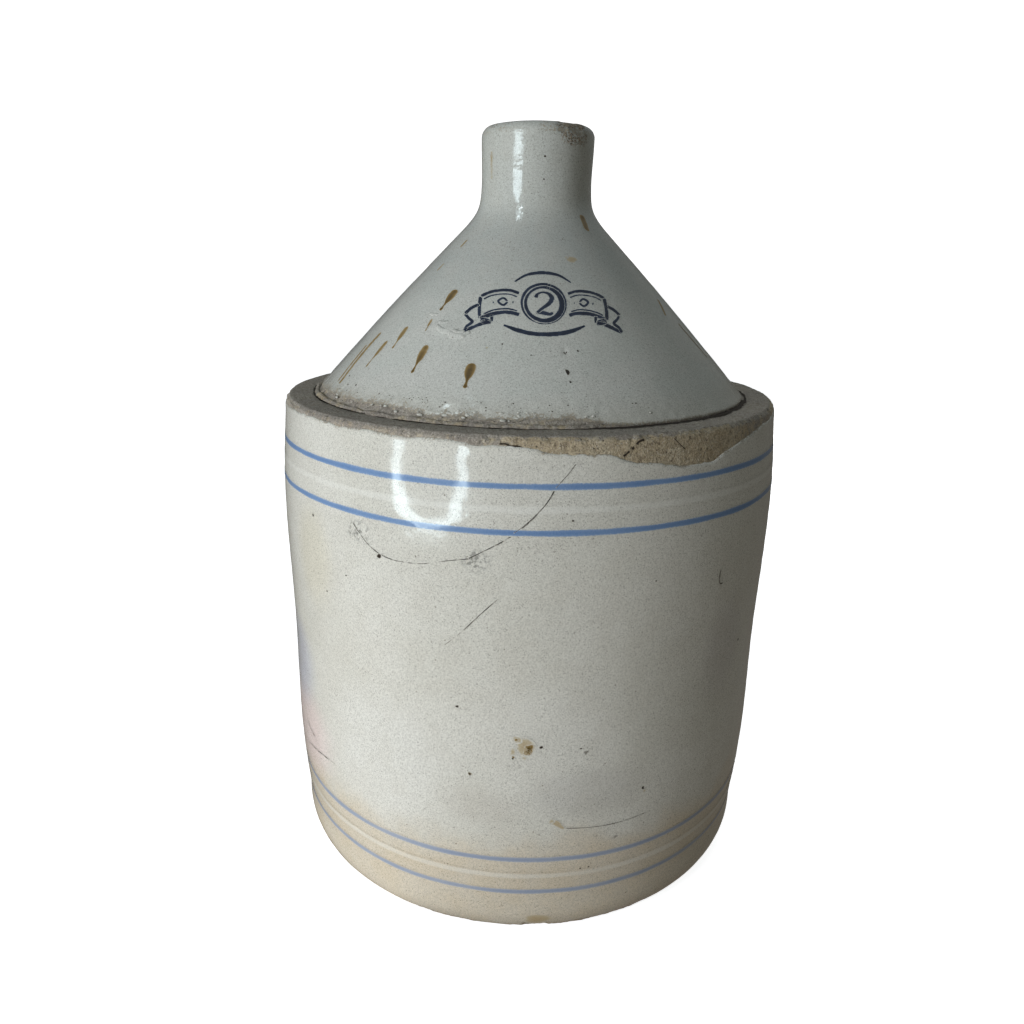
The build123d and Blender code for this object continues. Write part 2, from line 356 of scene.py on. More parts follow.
class Shader:
    """A procedural material, built node by node. Sizes are in mm."""

    def __init__(self, name):
        self.material = bpy.data.materials.new(name)
        self.material.use_nodes = True
        self.tree = self.material.node_tree
        self.tree.nodes.clear()
        place_node = self.node("ShaderNodeTexCoord")
        self.mm = self.vector("SCALE", place_node.outputs["Object"], scale=1 / MM)
        self.parts = self.node("ShaderNodeSeparateXYZ")
        self.link(self.mm, self.parts.inputs[0])

    def node(self, kind, **settings):
        made = self.tree.nodes.new(kind)
        for key, value in settings.items():
            setattr(made, key, value)
        return made

    def link(self, value, socket):
        if isinstance(value, bpy.types.NodeSocket):
            self.tree.links.new(value, socket)
        else:
            socket.default_value = value

    def vector(self, operation, a, b=None, scale=None):
        made = self.node("ShaderNodeVectorMath", operation=operation)
        self.link(a, made.inputs[0])
        if b is not None:
            self.link(b, made.inputs[1])
        if scale is not None:
            self.link(scale, made.inputs["Scale"])
        return made.outputs[0]

    def math(self, operation, a, b=0.0, clamp=False):
        made = self.node("ShaderNodeMath", operation=operation, use_clamp=clamp)
        self.link(a, made.inputs[0])
        self.link(b, made.inputs[1])
        return made.outputs[0]

    def plus(self, a, b):
        return self.math("ADD", a, b)

    def times(self, a, b):
        return self.math("MULTIPLY", a, b)

    def step(self, value, low, high, to_low=0.0, to_high=1.0):
        """The value carried smoothly from low..high to to_low..to_high."""
        made = self.node("ShaderNodeMapRange", interpolation_type="SMOOTHSTEP")
        for socket, number in zip(made.inputs[1:5], (low, high, to_low, to_high)):
            socket.default_value = number
        self.link(value, made.inputs[0])
        return made.outputs[0]

    def noise(self, size, detail=2.0, rough=0.5, stretch=None, shift=0.0):
        where = self.vector("ADD", self.mm, (shift, shift * 1.7, shift * 2.3)) if shift else self.mm
        where = self.vector("MULTIPLY", where, stretch) if stretch else where
        made = self.node("ShaderNodeTexNoise")
        self.link(where, made.inputs["Vector"])
        made.inputs["Scale"].default_value = 1 / size
        made.inputs["Detail"].default_value = detail
        made.inputs["Roughness"].default_value = rough
        return made.outputs["Fac"]

    def cells(self, size, feature="F1", output="Distance"):
        made = self.node("ShaderNodeTexVoronoi", feature=feature)
        self.link(self.mm, made.inputs["Vector"])
        made.inputs["Scale"].default_value = 1 / size
        return made.outputs[output]

    def mix(self, amount, a, b):
        made = self.node("ShaderNodeMix", data_type="RGBA")
        self.link(amount, made.inputs["Factor"])
        self.link(a, made.inputs[6])
        self.link(b, made.inputs[7])
        return made.outputs[2]

    def over(self, colour, amount, share, tint):
        """The colour with that share of tint laid over it where amount is 1."""
        return self.mix(self.times(amount, share), colour, tint)

    def ramp(self, value, stops):
        made = self.node("ShaderNodeValToRGB")
        band = made.color_ramp
        while len(band.elements) < len(stops):
            band.elements.new(0.5)
        for element, (at, colour) in zip(band.elements, stops):
            element.position, element.color = at, colour
        self.link(value, made.inputs[0])
        return made.outputs[0]

    def mark(self, name="mark"):
        return self.node("ShaderNodeAttribute", attribute_name=name).outputs["Fac"]

    def near(self, az, z, wide, tall):
        """1 at a place on the pot's wall, falling to 0 round it."""
        spot_at = place(az, WALL_R, z)
        away = self.vector("SUBTRACT", self.mm, tuple(float(c) for c in spot_at))
        away = self.vector("MULTIPLY", away, (1 / wide, 1 / wide, 1 / tall))
        length = self.node("ShaderNodeVectorMath", operation="LENGTH")
        self.link(away, length.inputs[0])
        return self.step(length.outputs["Value"], 1.0, 0.35)

    def finish(self, colour, rough, height):
        shader = self.node("ShaderNodeBsdfPrincipled")
        self.link(colour, shader.inputs["Base Color"])
        self.link(rough, shader.inputs["Roughness"])
        shader.inputs["IOR"].default_value = 1.5
        bumps = self.node("ShaderNodeBump")
        bumps.inputs["Distance"].default_value = MM
        self.link(height, bumps.inputs["Height"])
        self.link(bumps.outputs[0], shader.inputs["Normal"])
        return self.done(shader)

    def emission(self, colour, strength):
        made = self.node("ShaderNodeEmission")
        self.link(colour, made.inputs["Color"])
        made.inputs["Strength"].default_value = strength
        return made

    def done(self, shader):
        out = self.node("ShaderNodeOutputMaterial")
        self.link(shader.outputs[0], out.inputs[0])
        return self.material


POT_PATCHES = [  # azimuth, height, half width, half height, share, tint: broad tints laid over the pot's colour
    (-30, 78, 46, 38, 0.55, (219, 218, 209)), (-63, 66, 40, 30, 0.85, (226, 207, 201)),
    # the greyer patch at azimuth 48 is painted shade on the pot's right side
    (-66, 98, 30, 28, 0.75, (188, 190, 200)), (48, 122, 20, 30, 0.30, (182, 176, 176)),
    (-50, 158, 20, 30, 0.40, (204, 196, 168)), (14, 72, 34, 15, 0.30, (176, 173, 168)),
    (-8, 66, 24, 12, 0.22, (178, 170, 158)),
]
POT_SMUDGES = [(-34, 176, 9, 6), (-9, 172, 8, 6)]  # azimuth, height, half width, half height


def coat_pattern(s):
    """The white glaze: creamy on the pot, cooler and greyer on the cone, biscuit towards the foot."""
    z = s.parts.outputs["Z"]
    broad = s.step(s.noise(62, 3), 0.36, 0.64)
    cloud = s.step(s.noise(14, 3, 0.55, shift=31), 0.35, 0.65)
    fleck = s.step(s.noise(0.68, 3, 0.72), 0.42, 0.58)
    pepper = s.step(s.noise(0.46, 1, 0.5, shift=12), 0.585, 0.70)
    pot = s.mix(broad, srgb(209, 207, 195), srgb(215, 213, 202))
    foot = s.mix(cloud, srgb(205, 193, 170), srgb(210, 200, 180))
    foot_edge = s.plus(z, s.times(s.noise(30, 4, 0.6, shift=47), 44.0))
    pot = s.mix(s.step(foot_edge, 82, 58), pot, foot)
    for az, height, wide, tall, share, tint in POT_PATCHES:
        pot = s.over(pot, s.near(az, height, wide, tall), share, srgb(*tint))
    left, right = (s.near(az, height, wide, tall) for az, height, wide, tall in POT_SMUDGES)
    smudge = s.times(s.math("MAXIMUM", left, right), s.step(s.noise(1.8, 2, 0.6, shift=63), 0.46, 0.62))
    pot = s.over(pot, smudge, 0.8, srgb(126, 126, 120))
    cone = s.mix(broad, srgb(188, 190, 181), srgb(194, 196, 187))
    cone = s.mix(s.step(z, LEDGE_Z + 84, LEDGE_Z + 66), cone, s.mix(cloud, srgb(181, 183, 175), srgb(187, 188, 180)))
    cone = s.mix(s.step(z, LEDGE_Z + 62, LEDGE_Z + 28), cone, s.mix(cloud, srgb(197, 198, 188), srgb(203, 203, 194)))
    cone = s.mix(s.step(z, LEDGE_Z + 14, LEDGE_Z + 1), cone, srgb(198, 196, 184))
    colour = s.mix(s.step(z, LEDGE_Z - 1.5, LEDGE_Z + 1.5), pot, cone)
    colour = s.over(colour, s.step(cloud, 0, 1), 0.10, srgb(176, 168, 150))
    colour = s.over(colour, s.step(fleck, 1, 0), 0.26, srgb(138, 134, 122))
    colour = s.over(colour, pepper, 0.52, srgb(100, 95, 84))
    iron = s.step(s.cells(5.5), 0.085, 0.03)
    chosen = s.step(s.noise(5.0, 0, shift=77), 0.52, 0.60)
    colour = s.over(colour, s.times(iron, chosen), 0.75, srgb(96, 84, 66))
    rough = s.plus(s.step(cloud, 0, 1, 0.085, 0.13), s.times(pepper, 0.08))
    height = s.times(s.noise(3.4, 2, 0.5, shift=5), s.step(z, LEDGE_Z + 60, LEDGE_Z + 90, 0.045, 0.13))
    height = s.plus(height, s.times(s.noise(0.9, 1, 0.5, shift=9), 0.010))
    height = s.math("SUBTRACT", height, s.times(iron, 0.012))
    return colour, rough, height


def coat_material():
    """The white glaze, dirty and broken where "grime" is high and worn to the clay where "worn" is."""
    s = Shader("white_stoneware_glaze")
    colour, rough, height = coat_pattern(s)
    grain = s.step(s.noise(0.9, 3, 0.6, shift=41), 0.36, 0.64)
    about_zero = s.math("SUBTRACT", grain, 0.5)
    dirt = s.step(s.plus(s.mark("grime"), s.times(about_zero, 0.7)), 0.35, 0.85)
    colour = s.over(colour, dirt, 0.8, s.mix(grain, srgb(74, 68, 60), srgb(150, 138, 116)))
    rough = s.math("ADD", rough, s.times(dirt, 0.45), clamp=True)
    worn = s.step(s.plus(s.mark("worn"), s.times(about_zero, 0.45)), 0.42, 0.58)
    crazed = s.step(s.cells(1.5, "DISTANCE_TO_EDGE"), 0.13, 0.03)
    bare = s.over(s.mix(grain, srgb(136, 122, 102), srgb(170, 158, 138)), crazed, 0.7, srgb(58, 52, 46))
    colour = s.mix(worn, colour, bare)
    rough = s.mix(worn, rough, (0.7, 0.7, 0.7, 1))
    height = s.plus(height, s.times(s.times(grain, worn), 0.12))
    return s.finish(colour, rough, height)


def clay_material():
    """Fired clay: buff where clean, slate brown where grime has got in, rough all over."""
    s = Shader("bare_stoneware_clay")
    grain = s.step(s.noise(0.75, 3, 0.65), 0.35, 0.65)
    coarse = s.step(s.noise(2.6, 3, 0.6, shift=17), 0.38, 0.66)
    cloud = s.step(s.noise(13, 3, 0.55, shift=3), 0.35, 0.65)
    buff = s.mix(cloud, srgb(184, 169, 140), srgb(196, 184, 158))
    buff = s.over(buff, s.step(coarse, 1, 0), 0.30, srgb(158, 136, 102))
    slate = s.mix(cloud, srgb(158, 151, 140), srgb(170, 163, 150))
    slate = s.over(slate, coarse, 0.45, srgb(138, 128, 114))
    amount = s.plus(s.mark("grime"), s.times(s.math("SUBTRACT", coarse, 0.5), 0.35))
    colour = s.mix(s.step(amount, 0.3, 0.7), buff, slate)
    colour = s.over(colour, s.step(grain, 1, 0), 0.42, srgb(84, 75, 66))
    colour = s.over(colour, s.step(s.noise(0.6, 0, shift=23), 0.70, 0.78), 0.6, srgb(206, 198, 182))
    pits = s.step(s.noise(1.5, 2, 0.6, shift=29), 0.40, 0.33)
    colour = s.over(colour, pits, 0.40, srgb(66, 58, 48))
    holes = s.step(s.cells(4.2), 0.12, 0.04)
    colour = s.over(colour, holes, 0.8, srgb(44, 38, 32))
    height = s.plus(s.times(grain, 0.09), s.times(coarse, 0.16))
    height = s.math("SUBTRACT", height, s.times(s.math("MAXIMUM", holes, pits), 0.2))
    return s.finish(colour, s.step(cloud, 0, 1, 0.78, 0.92), height)


def mark_material(name, stops, start, full, grain=0.3, grain_size=0.8, rough=None, amount=1.0):
    """A colour that lies in the white glaze, fading out where "mark" is low. stops are (place, r, g, b)."""
    s = Shader(name)
    colour, base_rough, height = coat_pattern(s)
    grit = s.math("SUBTRACT", s.noise(grain_size, 2, 0.6, shift=57), 0.5)
    value = s.plus(s.mark(), s.times(grit, grain))
    shown = s.times(s.step(value, start, full), amount)
    colour = s.mix(shown, colour, s.ramp(value, [(at, srgb(*tint)) for at, *tint in stops]))
    if rough is not None:
        base_rough = s.mix(shown, base_rough, (rough, rough, rough, 1))
    return s.finish(colour, base_rough, height)


# Dark dirt in the cracks of the bare edge; the same material paints the shade in the seam.
def seam_shade_and_crack_dirt_material():
    s = Shader("dirt_in_cracks")
    grain = s.noise(0.7, 2, 0.6)
    return s.finish(s.mix(grain, srgb(34, 29, 24), srgb(70, 60, 48)), s.step(grain, 0.3, 0.7, 0.75, 0.95),
                    s.times(grain, 0.1))


def lining_material():
    """The brown slip inside: thin, glossy, streaked where it was poured."""
    s = Shader("brown_lining_slip")
    run = s.step(s.noise(9, 3, 0.6, stretch=(1, 1, 0.25)), 0.35, 0.65)
    fleck = s.step(s.noise(1.1, 2, 0.6), 0.42, 0.6)
    colour = s.over(s.mix(run, srgb(58, 34, 20), srgb(98, 60, 34)), fleck, 0.4, srgb(36, 22, 15))
    return s.finish(colour, s.step(run, 0, 1, 0.16, 0.3), s.times(s.noise(2.6, 2), 0.08))


COAT_SKIN = coat_material()
CLAY = clay_material()
SEAM_SHADE_AND_CRACK_DIRT = seam_shade_and_crack_dirt_material()
LINING = lining_material()
BLUE = mark_material("painted_blue_band", [(0.0, 174, 184, 192), (0.45, 124, 149, 180), (1.0, 100, 128, 166)],
                     0.10, 0.58, 0.62, 0.6)
BLUE_FAINT = mark_material("painted_blue_band_faint", [(0.0, 178, 181, 186), (1.0, 130, 144, 166)],
                           0.10, 0.55, 0.58, 0.6, amount=0.9)
WHITE = mark_material("painted_white_band", [(0.0, 222, 221, 211), (1.0, 226, 226, 217)],
                      0.2, 0.8, 0.4, 1.6, amount=0.34)
BROWN = mark_material("iron_splash", [(0.0, 176, 162, 122), (0.35, 152, 128, 82), (0.7, 118, 95, 54),
                                      (1.0, 88, 72, 42)], 0.06, 0.46, 0.16, 0.9, rough=0.12)
TAN = mark_material("pale_iron_stain", [(0.0, 186, 176, 148), (1.0, 168, 146, 104)], 0.12, 0.6, 0.3, 1.0, amount=0.75)
INK = mark_material("stamp_ink", [(0.0, 98, 108, 122), (0.5, 44, 54, 72), (1.0, 26, 33, 48)], 0.22, 0.46, 0.42, 0.7)
SOOT = mark_material("iron_speck", [(0.0, 120, 104, 82), (0.6, 62, 52, 42), (1.0, 34, 29, 25)],
                     0.18, 0.5, 0.25, 0.6, rough=0.5)
HAIR = mark_material("hairline_crack", [(0.0, 140, 132, 118), (1.0, 58, 56, 52)], 0.20, 0.58, 0.46, 0.8, rough=0.5)

# ---------------- the pot's clay
# Where the white coat stops below the ledge: a narrow bare edge, and a wide bare patch right of the front.
COAT_EDGE = [(-180, 215.2), (-120, 215.5), (-63, 215.1), (-46, 215.7), (-40, 215.1), (-32, 216.0), (-25, 215.3),
             (-15, 215.7), (-9.4, 214.3), (-5.4, 214.5), (0, 213.9), (4.9, 212.1), (11.3, 211.6), (15.6, 211.2),
             (18.2, 209.0), (23.7, 207.5), (28.9, 205.7), (35.6, 204.9), (38.5, 205.5), (41.5, 207.4), (45.5, 209.5),
             (50.7, 211.4), (57.5, 213.5), (63.4, 214.1), (80, 215.6), (130, 215.3), (180, 215.2)]
BASE_CHIP_AZ, BASE_CHIP_HALF, BASE_CHIP_Z = 4.4, 3.2, 4.6


def coat_edge(az):
    """The height at which the pot's white coat ends below the ledge."""
    azs, zs = zip(*COAT_EDGE)
    return cubic(az, azs, zs) + 0.55 * noise(place(az, WALL_R, 0.0), 3.2, 41, 3)


def base_chip(az):
    return np.sqrt(np.clip(1 - ((az - BASE_CHIP_AZ) / BASE_CHIP_HALF) ** 2, 0, 1))


def coat_foot(az):
    """The height at which it starts above the foot."""
    return 3.6 + 0.9 * noise(place(az, 109.0, 0.0), 9, 43, 2) + BASE_CHIP_Z * base_chip(az)


def turned(line, cols):
    """Azimuths, radii, heights and normals of a turned surface, each (rows, cols)."""
    az = around(cols)
    out = normals(line)
    shape = (len(line), cols)
    return [np.broadcast_to(v, shape) for v in (az[None], line[:, :1], line[:, 1:], out[:, :1], out[:, 1:])]


WALL_TOP_Z, BEVEL_FOOT_Z = 215.6, 216.6
wall_zs = np.concatenate([np.linspace(1.4, 16, 14), np.linspace(18, 200, 40), np.linspace(201, WALL_TOP_Z, 22)])
foot = np.array([(0, 0), (60, 0), (100, 0), (103.6, 0), (105.0, 0.4)])
outside = np.stack([wall_r(wall_zs), wall_zs], -1)
lip_r = REBATE_R - 0.5
over = rounded([(float(wall_r(WALL_TOP_Z)), WALL_TOP_Z, 0), (float(wall_r(BEVEL_FOOT_Z)), BEVEL_FOOT_Z, 0.8),
                (BEVEL_R, LEDGE_Z, 1.2), (lip_r, LEDGE_Z, 0)], 0.6)
within = rounded([(lip_r, LEDGE_Z, 0), (lip_r, REBATE_Z, 0), (CORBEL_R, REBATE_Z, 0), (CORBEL_R, CORBEL_Z, 4),
                  (105.6, 192, 12), (104.0, FLOOR_Z, 16), (0, FLOOR_Z, 0)], 9.0)
pot_line = np.concatenate([foot, outside, over[1:], within[1:]])
az, r, z, nr, nz = turned(pot_line, 900)
p = place(az, r, z)
open_top = step(z, 203, 207) * step(r, 96, 99)
open_foot = step(z, 16, 9) * step(r, 96, 104)
relief = np.where(r > 104, wall_relief(az, z), 0) * step(z, 0, 4)
relief = relief * np.where(z < 214, 1, step(z, LEDGE_Z, 214))
grit = 0.16 * noise(p, 2.4, 51, 2) + 0.10 * noise(p, 1.3, 52) + 0.14 * noise(p, 11, 53)
corner = bump(np.hypot(r - 112.0, z - 217.2), 0, 1.6)
relief = relief + np.maximum(open_top, open_foot) * grit - corner * 0.7 * step(noise(p, 6.5, 54, 2), 0.05, 0.6)
chipped = step(base_chip(az), 0.25, 0.8) * step(z, 11.5, 7.5) * step(r, 100, 105)
relief = relief - 0.35 * chipped * (1 + 0.4 * noise(p, 2.2, 55))
# grime: all over the ledge, less to the right of the front, and in patches on the bare edge
top_face = step(r, 111.6, 109.9) * step(z, LEDGE_Z - 1.6, LEDGE_Z - 0.6)
side = 1 - 0.25 * step(az, 15, 45) * step(az, 90, 60)
stain = 0.55 * step(az, 40, 55) * step(az, 75, 62) * step(z, 207, 212)
stain = stain + 0.45 * bump(az, 24, 22) * step(z, WALL_TOP_Z, 217)
underside = 0.35 * step(z, 0.6, 0.1)
left = 0.62 * step(az, 6, -14) * step(z, LEDGE_Z - 6, LEDGE_Z - 4)
grime = np.clip(top_face * side + stain + underside + left + 0.25 * np.abs(noise(p, 9, 56)), 0, 1)
pot = sheet("pot_clay", place(az, r + nr * relief, np.maximum(z + nz * relief, 0.0)), CLAY, {"grime": grime})
keep(pot, "bare_stoneware", "body_pot")

# ---------------- the pot's white coat
az = around(640)
low, high = coat_foot(az), coat_edge(az)
edge = np.array([0, 0.1, 0.3, 0.6, 1.0, 1.6])
share = np.linspace(0, 1, 118)[:, None]
z = np.concatenate([low + edge[:, None], low + 1.6 + (high - low - 3.2) * share[1:-1], high - edge[::-1, None]])
from_end = np.minimum(z - low, high - z)
lift = (COAT + 0.12) * (np.sqrt(np.clip(1 - (1 - np.clip(from_end / 0.8, 0, 1)) ** 2, 0, 1)) - 1)
lift = lift - 0.06 * step(from_end, 0, 0.2) + 0.10 * bump(high - z, 1.4, 0.9)
az2 = np.broadcast_to(az, z.shape)
p = place(az2, WALL_R, z)
grime = 0.75 * step(high - z, 1.7, 0.1) * step(noise(p, 3.0, 61, 2), -0.5, 0.4) + 0.5 * step(z - low, 2.4, 0.2)
coat = sheet("pot_white_coat", on_wall(az2, z, lift), COAT_SKIN, {"grime": grime})
keep(coat, "white_glaze", "body_glaze")

# ---------------- painted bands round the pot
def band(name, node, material, slot, lift, seed):
    """A brushed line round the pot, where the frame has it, with the brush's wobble and load."""
    low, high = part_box(node)
    middle, half = (low.z + high.z) / 2 / MM, (high.z - low.z) / 2 / MM
    az = around(540)
    ring = place(az, WALL_R, 0.0)
    middle = middle + 0.18 * noise(ring, 40, seed) + 0.08 * noise(ring, 9, seed + 1)
    width = half * 1.18 * (1 + 0.12 * noise(ring, 16, seed + 2))
    k = np.linspace(-1, 1, 9)[:, None]
    load = 0.86 + 0.14 * noise(ring, 28, seed + 3) + 0.10 * noise(ring, 7, seed + 4)
    z = middle + k * width
    mark = np.clip((1 - k ** 2) * load, 0, 1)
    keep(sheet(name, on_wall(np.broadcast_to(az, z.shape), z, lift), material, {"mark": mark}), slot, node)


for index, material in enumerate([BLUE, BLUE, BLUE_FAINT, BLUE_FAINT]):
    number = str(index + 1)
    band("band_blue_" + number, "blue_band_" + number, material, "blue_paint", 0.035, 70 + 10 * index)
for index, node in enumerate(["white_band_upper", "white_band_lower"]):
    band("band_white_" + str(index + 1), node, WHITE, "white_paint", 0.03, 120 + 10 * index)

# ---------------- the shoulder's clay
neck_top = RIM_Z - RIM_ROUND
cone_zs = np.concatenate([np.linspace(REBATE_Z, 226, 20), np.linspace(228, neck_top, 60)])
rim = rounded([(float(cone_r(neck_top)), neck_top, 0), (NECK_R + NECK_FLARE, RIM_Z, RIM_ROUND - 0.05),
               (MOUTH_R, RIM_Z, MOUTH_ROUND), (MOUTH_R, RIM_Z - 9, 0)], 0.8)
bore = rounded([(MOUTH_R, RIM_Z - 9, 0), (MOUTH_R, 292, 18), (87.3, REBATE_Z, 0), (REBATE_R, REBATE_Z, 0)], 5.0)
foot_r = np.minimum(cone_r(cone_zs), REBATE_R)
cone_line = np.concatenate([np.stack([foot_r, cone_zs], -1), rim[1:], bore[1:]])
az, r, z, nr, nz = turned(cone_line, 600)
p = place(az, r, z)
grit = 0.22 * noise(p, 2.2, 81, 2) * step(z, 226, 222) * step(r, 90, 94)
grime = 0.72 + 0.3 * noise(p, 4, 82, 2)
shoulder = sheet("shoulder_clay", place(az, r + nr * grit, z + nz * grit), CLAY, {"grime": grime})
keep(shoulder, "bare_stoneware", "shoulder_top")

# ---------------- the shoulder's white coat, over the rim and into the mouth
# Its lower edge is ragged in front, and hangs lower and smoother to the right.
az = around(640)
ring = place(az, 98.0, 0.0)
hang = step(az, 8, 24) * step(az, 150, 95)
low = SLIP_TOP_Z - 0.9 + 1.1 * noise(ring, 4.2, 91, 3) * (1 - 0.9 * hang) - 2.3 * hang
low = low + 0.9 * step(az, -70, -50) * step(az, -20, -38)
edge = np.array([0, 0.08, 0.25, 0.5, 0.85, 1.3, 1.8])
share = np.linspace(0, 1, 104)[:, None]
z = np.concatenate([low + edge[:, None], low + 1.8 + (neck_top - low - 1.8) * share[1:]])
from_low = (z - low) / CONE_RISE
az2 = np.broadcast_to(az, z.shape)
lift = (COAT + 0.35) * (np.sqrt(np.clip(1 - (1 - np.clip(from_low / 0.9, 0, 1)) ** 2, 0, 1)) - 1)
lift = lift + (0.25 - 0.1 * hang) * bump(from_low, 1.5, 1.3)
side_points = on_cone(az2, z, lift)

rim_r, rim_z = rim[1:, :1], rim[1:, 1:]
rim_out = normals(rim[1:])
rim_p = place(az[None], rim_r, rim_z)
chip = step(bump(az, 38, 24), 0.25, 0.75)
inward = step(rim_r, MOUTH_R + 1, NECK_R)
neck_relief = np.broadcast_to(cone_relief(az, np.full(az.shape, neck_top)), rim_p.shape[:2])
rim_lift = COAT + 0.05 * noise(rim_p, 6, 93) + neck_relief * np.linspace(1, 0, len(rim_r))[:, None]
rim_lift = rim_lift - 0.35 * step(noise(rim_p, 3.0, 94, 2) + chip * 0.9, 0.75, 1.1) * chip * inward
coat_end = np.clip(RIM_Z - COAT_IN_MOUTH - rim_z + 1, 0, 1) * (rim_r < MOUTH_R + 1)
rim_lift = rim_lift - 0.8 * coat_end
rim_points = place(az[None], rim_r + rim_out[:, :1] * rim_lift, rim_z + rim_out[:, 1:] * rim_lift)

p = place(az2, cone_r(z), z)
dirt = step(from_low, 6.5, 0.5) * (0.55 + 0.85 * noise(p, 3.4, 95, 3)) * (1 - 0.7 * hang)
dirt = dirt + 0.62 * step(from_low, 1.6, 0.3)
neck_chip = 1.15 - ((az - 40) / 25) ** 2 - ((z - RIM_Z + 3.0) / 7.5) ** 2 + 0.5 * noise(p, 3, 96, 2)
neck_chip = np.clip(neck_chip, 0, 1)
worn_rim = np.clip(0.30 + 0.42 * chip * inward + 0.35 * noise(rim_p, 3.2, 97, 2) * inward, 0, 1)
worn_rim = worn_rim * step(rim_z, RIM_Z - 3.4, RIM_Z - 1.5)
dirty_rim = 0.45 * inward * step(noise(rim_p, 5, 98, 2), -0.3, 0.5)
marks = {"grime": np.clip(np.concatenate([dirt + 0.8 * neck_chip, dirty_rim + 0.45 * chip * inward]), 0, 1),
         "worn": np.clip(np.concatenate([0.57 * neck_chip, worn_rim]), 0, 1)}
shoulder_coat = sheet("shoulder_white_coat", np.concatenate([side_points, rim_points]), COAT_SKIN, marks)
keep(shoulder_coat, "white_glaze", "shoulder_glaze")

# ---------------- joining slip round the seam
az = around(1000)
hang = step(az, 8, 26) * step(az, 150, 95)
ring = place(az, 99.0, 0.0)
size = 1.15 * (1 - 0.75 * hang) * (1 + 0.34 * noise(ring, 6.5, 101, 2))
turn = np.linspace(0, 2 * math.pi, 12, endpoint=False)[:, None]
centre_r = REBATE_R + 0.1 - 2.2 * hang + 0.45 * noise(ring, 8, 102)
r, z = centre_r + size * 1.15 * np.sin(turn), LEDGE_Z + 0.35 + size * np.cos(turn)
p = place(az[None], r, z)
swell = 0.5 * noise(p, 2.3, 103, 2) + 0.25 * noise(p, 0.9, 104)
r, z = r + swell * np.sin(turn), z + swell * np.cos(turn)
roll = np.concatenate([place(az[None], r, z), place(az[None], r[:1], z[:1])])
grime = np.clip(0.62 + 0.3 * hang + 0.4 * noise(np.concatenate([p, p[:1]]), 4, 105, 2), 0, 1)
slip = sheet("seam_slip_roll", roll, CLAY, {"grime": grime})
keep(slip, "bare_stoneware", "seam_slip_outer")

# Painted shade in the seam: a dark strip laid on the ledge where the gap under the coat's edge lies in shadow, widest
# right of the front.
SEAM_RUNS = [  # azimuths of both ends, half width, strength
    (-62, -33, 0.75, 0.9), (-31, -4, 0.9, 1.0), (-6, 14, 0.8, 0.9), (13, 75, 1.9, 1.0), (75, 180, 0.8, 0.8),
    (-180, -60, 0.8, 0.8),
]
seam_shade = Bundle()
for start, end, wide, dark in SEAM_RUNS:
    az = np.linspace(start, end, int((end - start) * 3))
    ring = place(az, 100.0, 0.0)
    k = np.linspace(-1, 1, 5)[:, None]
    middle = 100.2 - (0.7 if wide > 1 else 0.0) + 0.35 * noise(ring, 4, 111, 2)
    r = middle + k * wide * (0.7 + 0.5 * noise(ring, 3, 112, 2))
    seam_shade.add(on_ledge(np.broadcast_to(az, r.shape), r, 0.22), dark)
keep(seam_shade.piece("seam_dark_line", SEAM_SHADE_AND_CRACK_DIRT), "bare_stoneware")

# Small glassy beads and crawled drops of glaze along the seam.
rng = np.random.default_rng(7)
beads = Bundle()
for _ in range(38):
    az0 = rng.normal(-16, 20)
    size = rng.uniform(0.25, 0.62)
    rise = SLIP_TOP_Z + rng.uniform(-1.4, 1.6)
    long = rng.uniform(1.0, 2.4)
    turn = np.linspace(0, 2 * math.pi, 13)[:-1]
    up = np.linspace(0.03, math.pi - 0.03, 8)[:, None]
    s, t = size * long * np.sin(up) * np.cos(turn), size * np.cos(up) * np.ones_like(turn)
    out = size * 0.75 * np.sin(up) * np.sin(turn)
    beads.add(cone_chart(az0, rise)(s, t, out + 0.1), 0.0, closed=True)
keep(beads.piece("seam_glaze_beads", COAT_SKIN), "white_glaze")

# ---------------- brown lining
slip_z, slip_corbel_r, slip_bore_r = FLOOR_Z + 0.4, CORBEL_R - 0.5, MOUTH_R - 0.5
inside = rounded([(0, slip_z, 0), (103.5, slip_z, 16), (105.1, 192, 10), (slip_corbel_r, CORBEL_Z, 4),
                  (slip_corbel_r, REBATE_Z + 0.4, 2), (slip_bore_r, 292, 18),
                  (slip_bore_r, RIM_Z - COAT_IN_MOUTH, 0)], 4.0)
az, r, z, nr, nz = turned(inside, 240)
wave = 0.12 * noise(place(az, r, z), 14, 131, 2)
lining = sheet("lining", place(az, r - np.abs(wave), z), LINING)
keep(lining, "brown_slip", "lining_slip", "seam_slip_inner")

# ---------------- strap handle
STRAP_ROUTE = rounded([(17.4, 308.0, 0), (76.5, 311.0, 24.0), (73.4, 239.0, 0)], 1.2)
strap_low, strap_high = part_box("handle_strap")
STRAP_HALF = (strap_high.x - strap_low.x) / 2 / MM
STRAP_THICK = 4.75


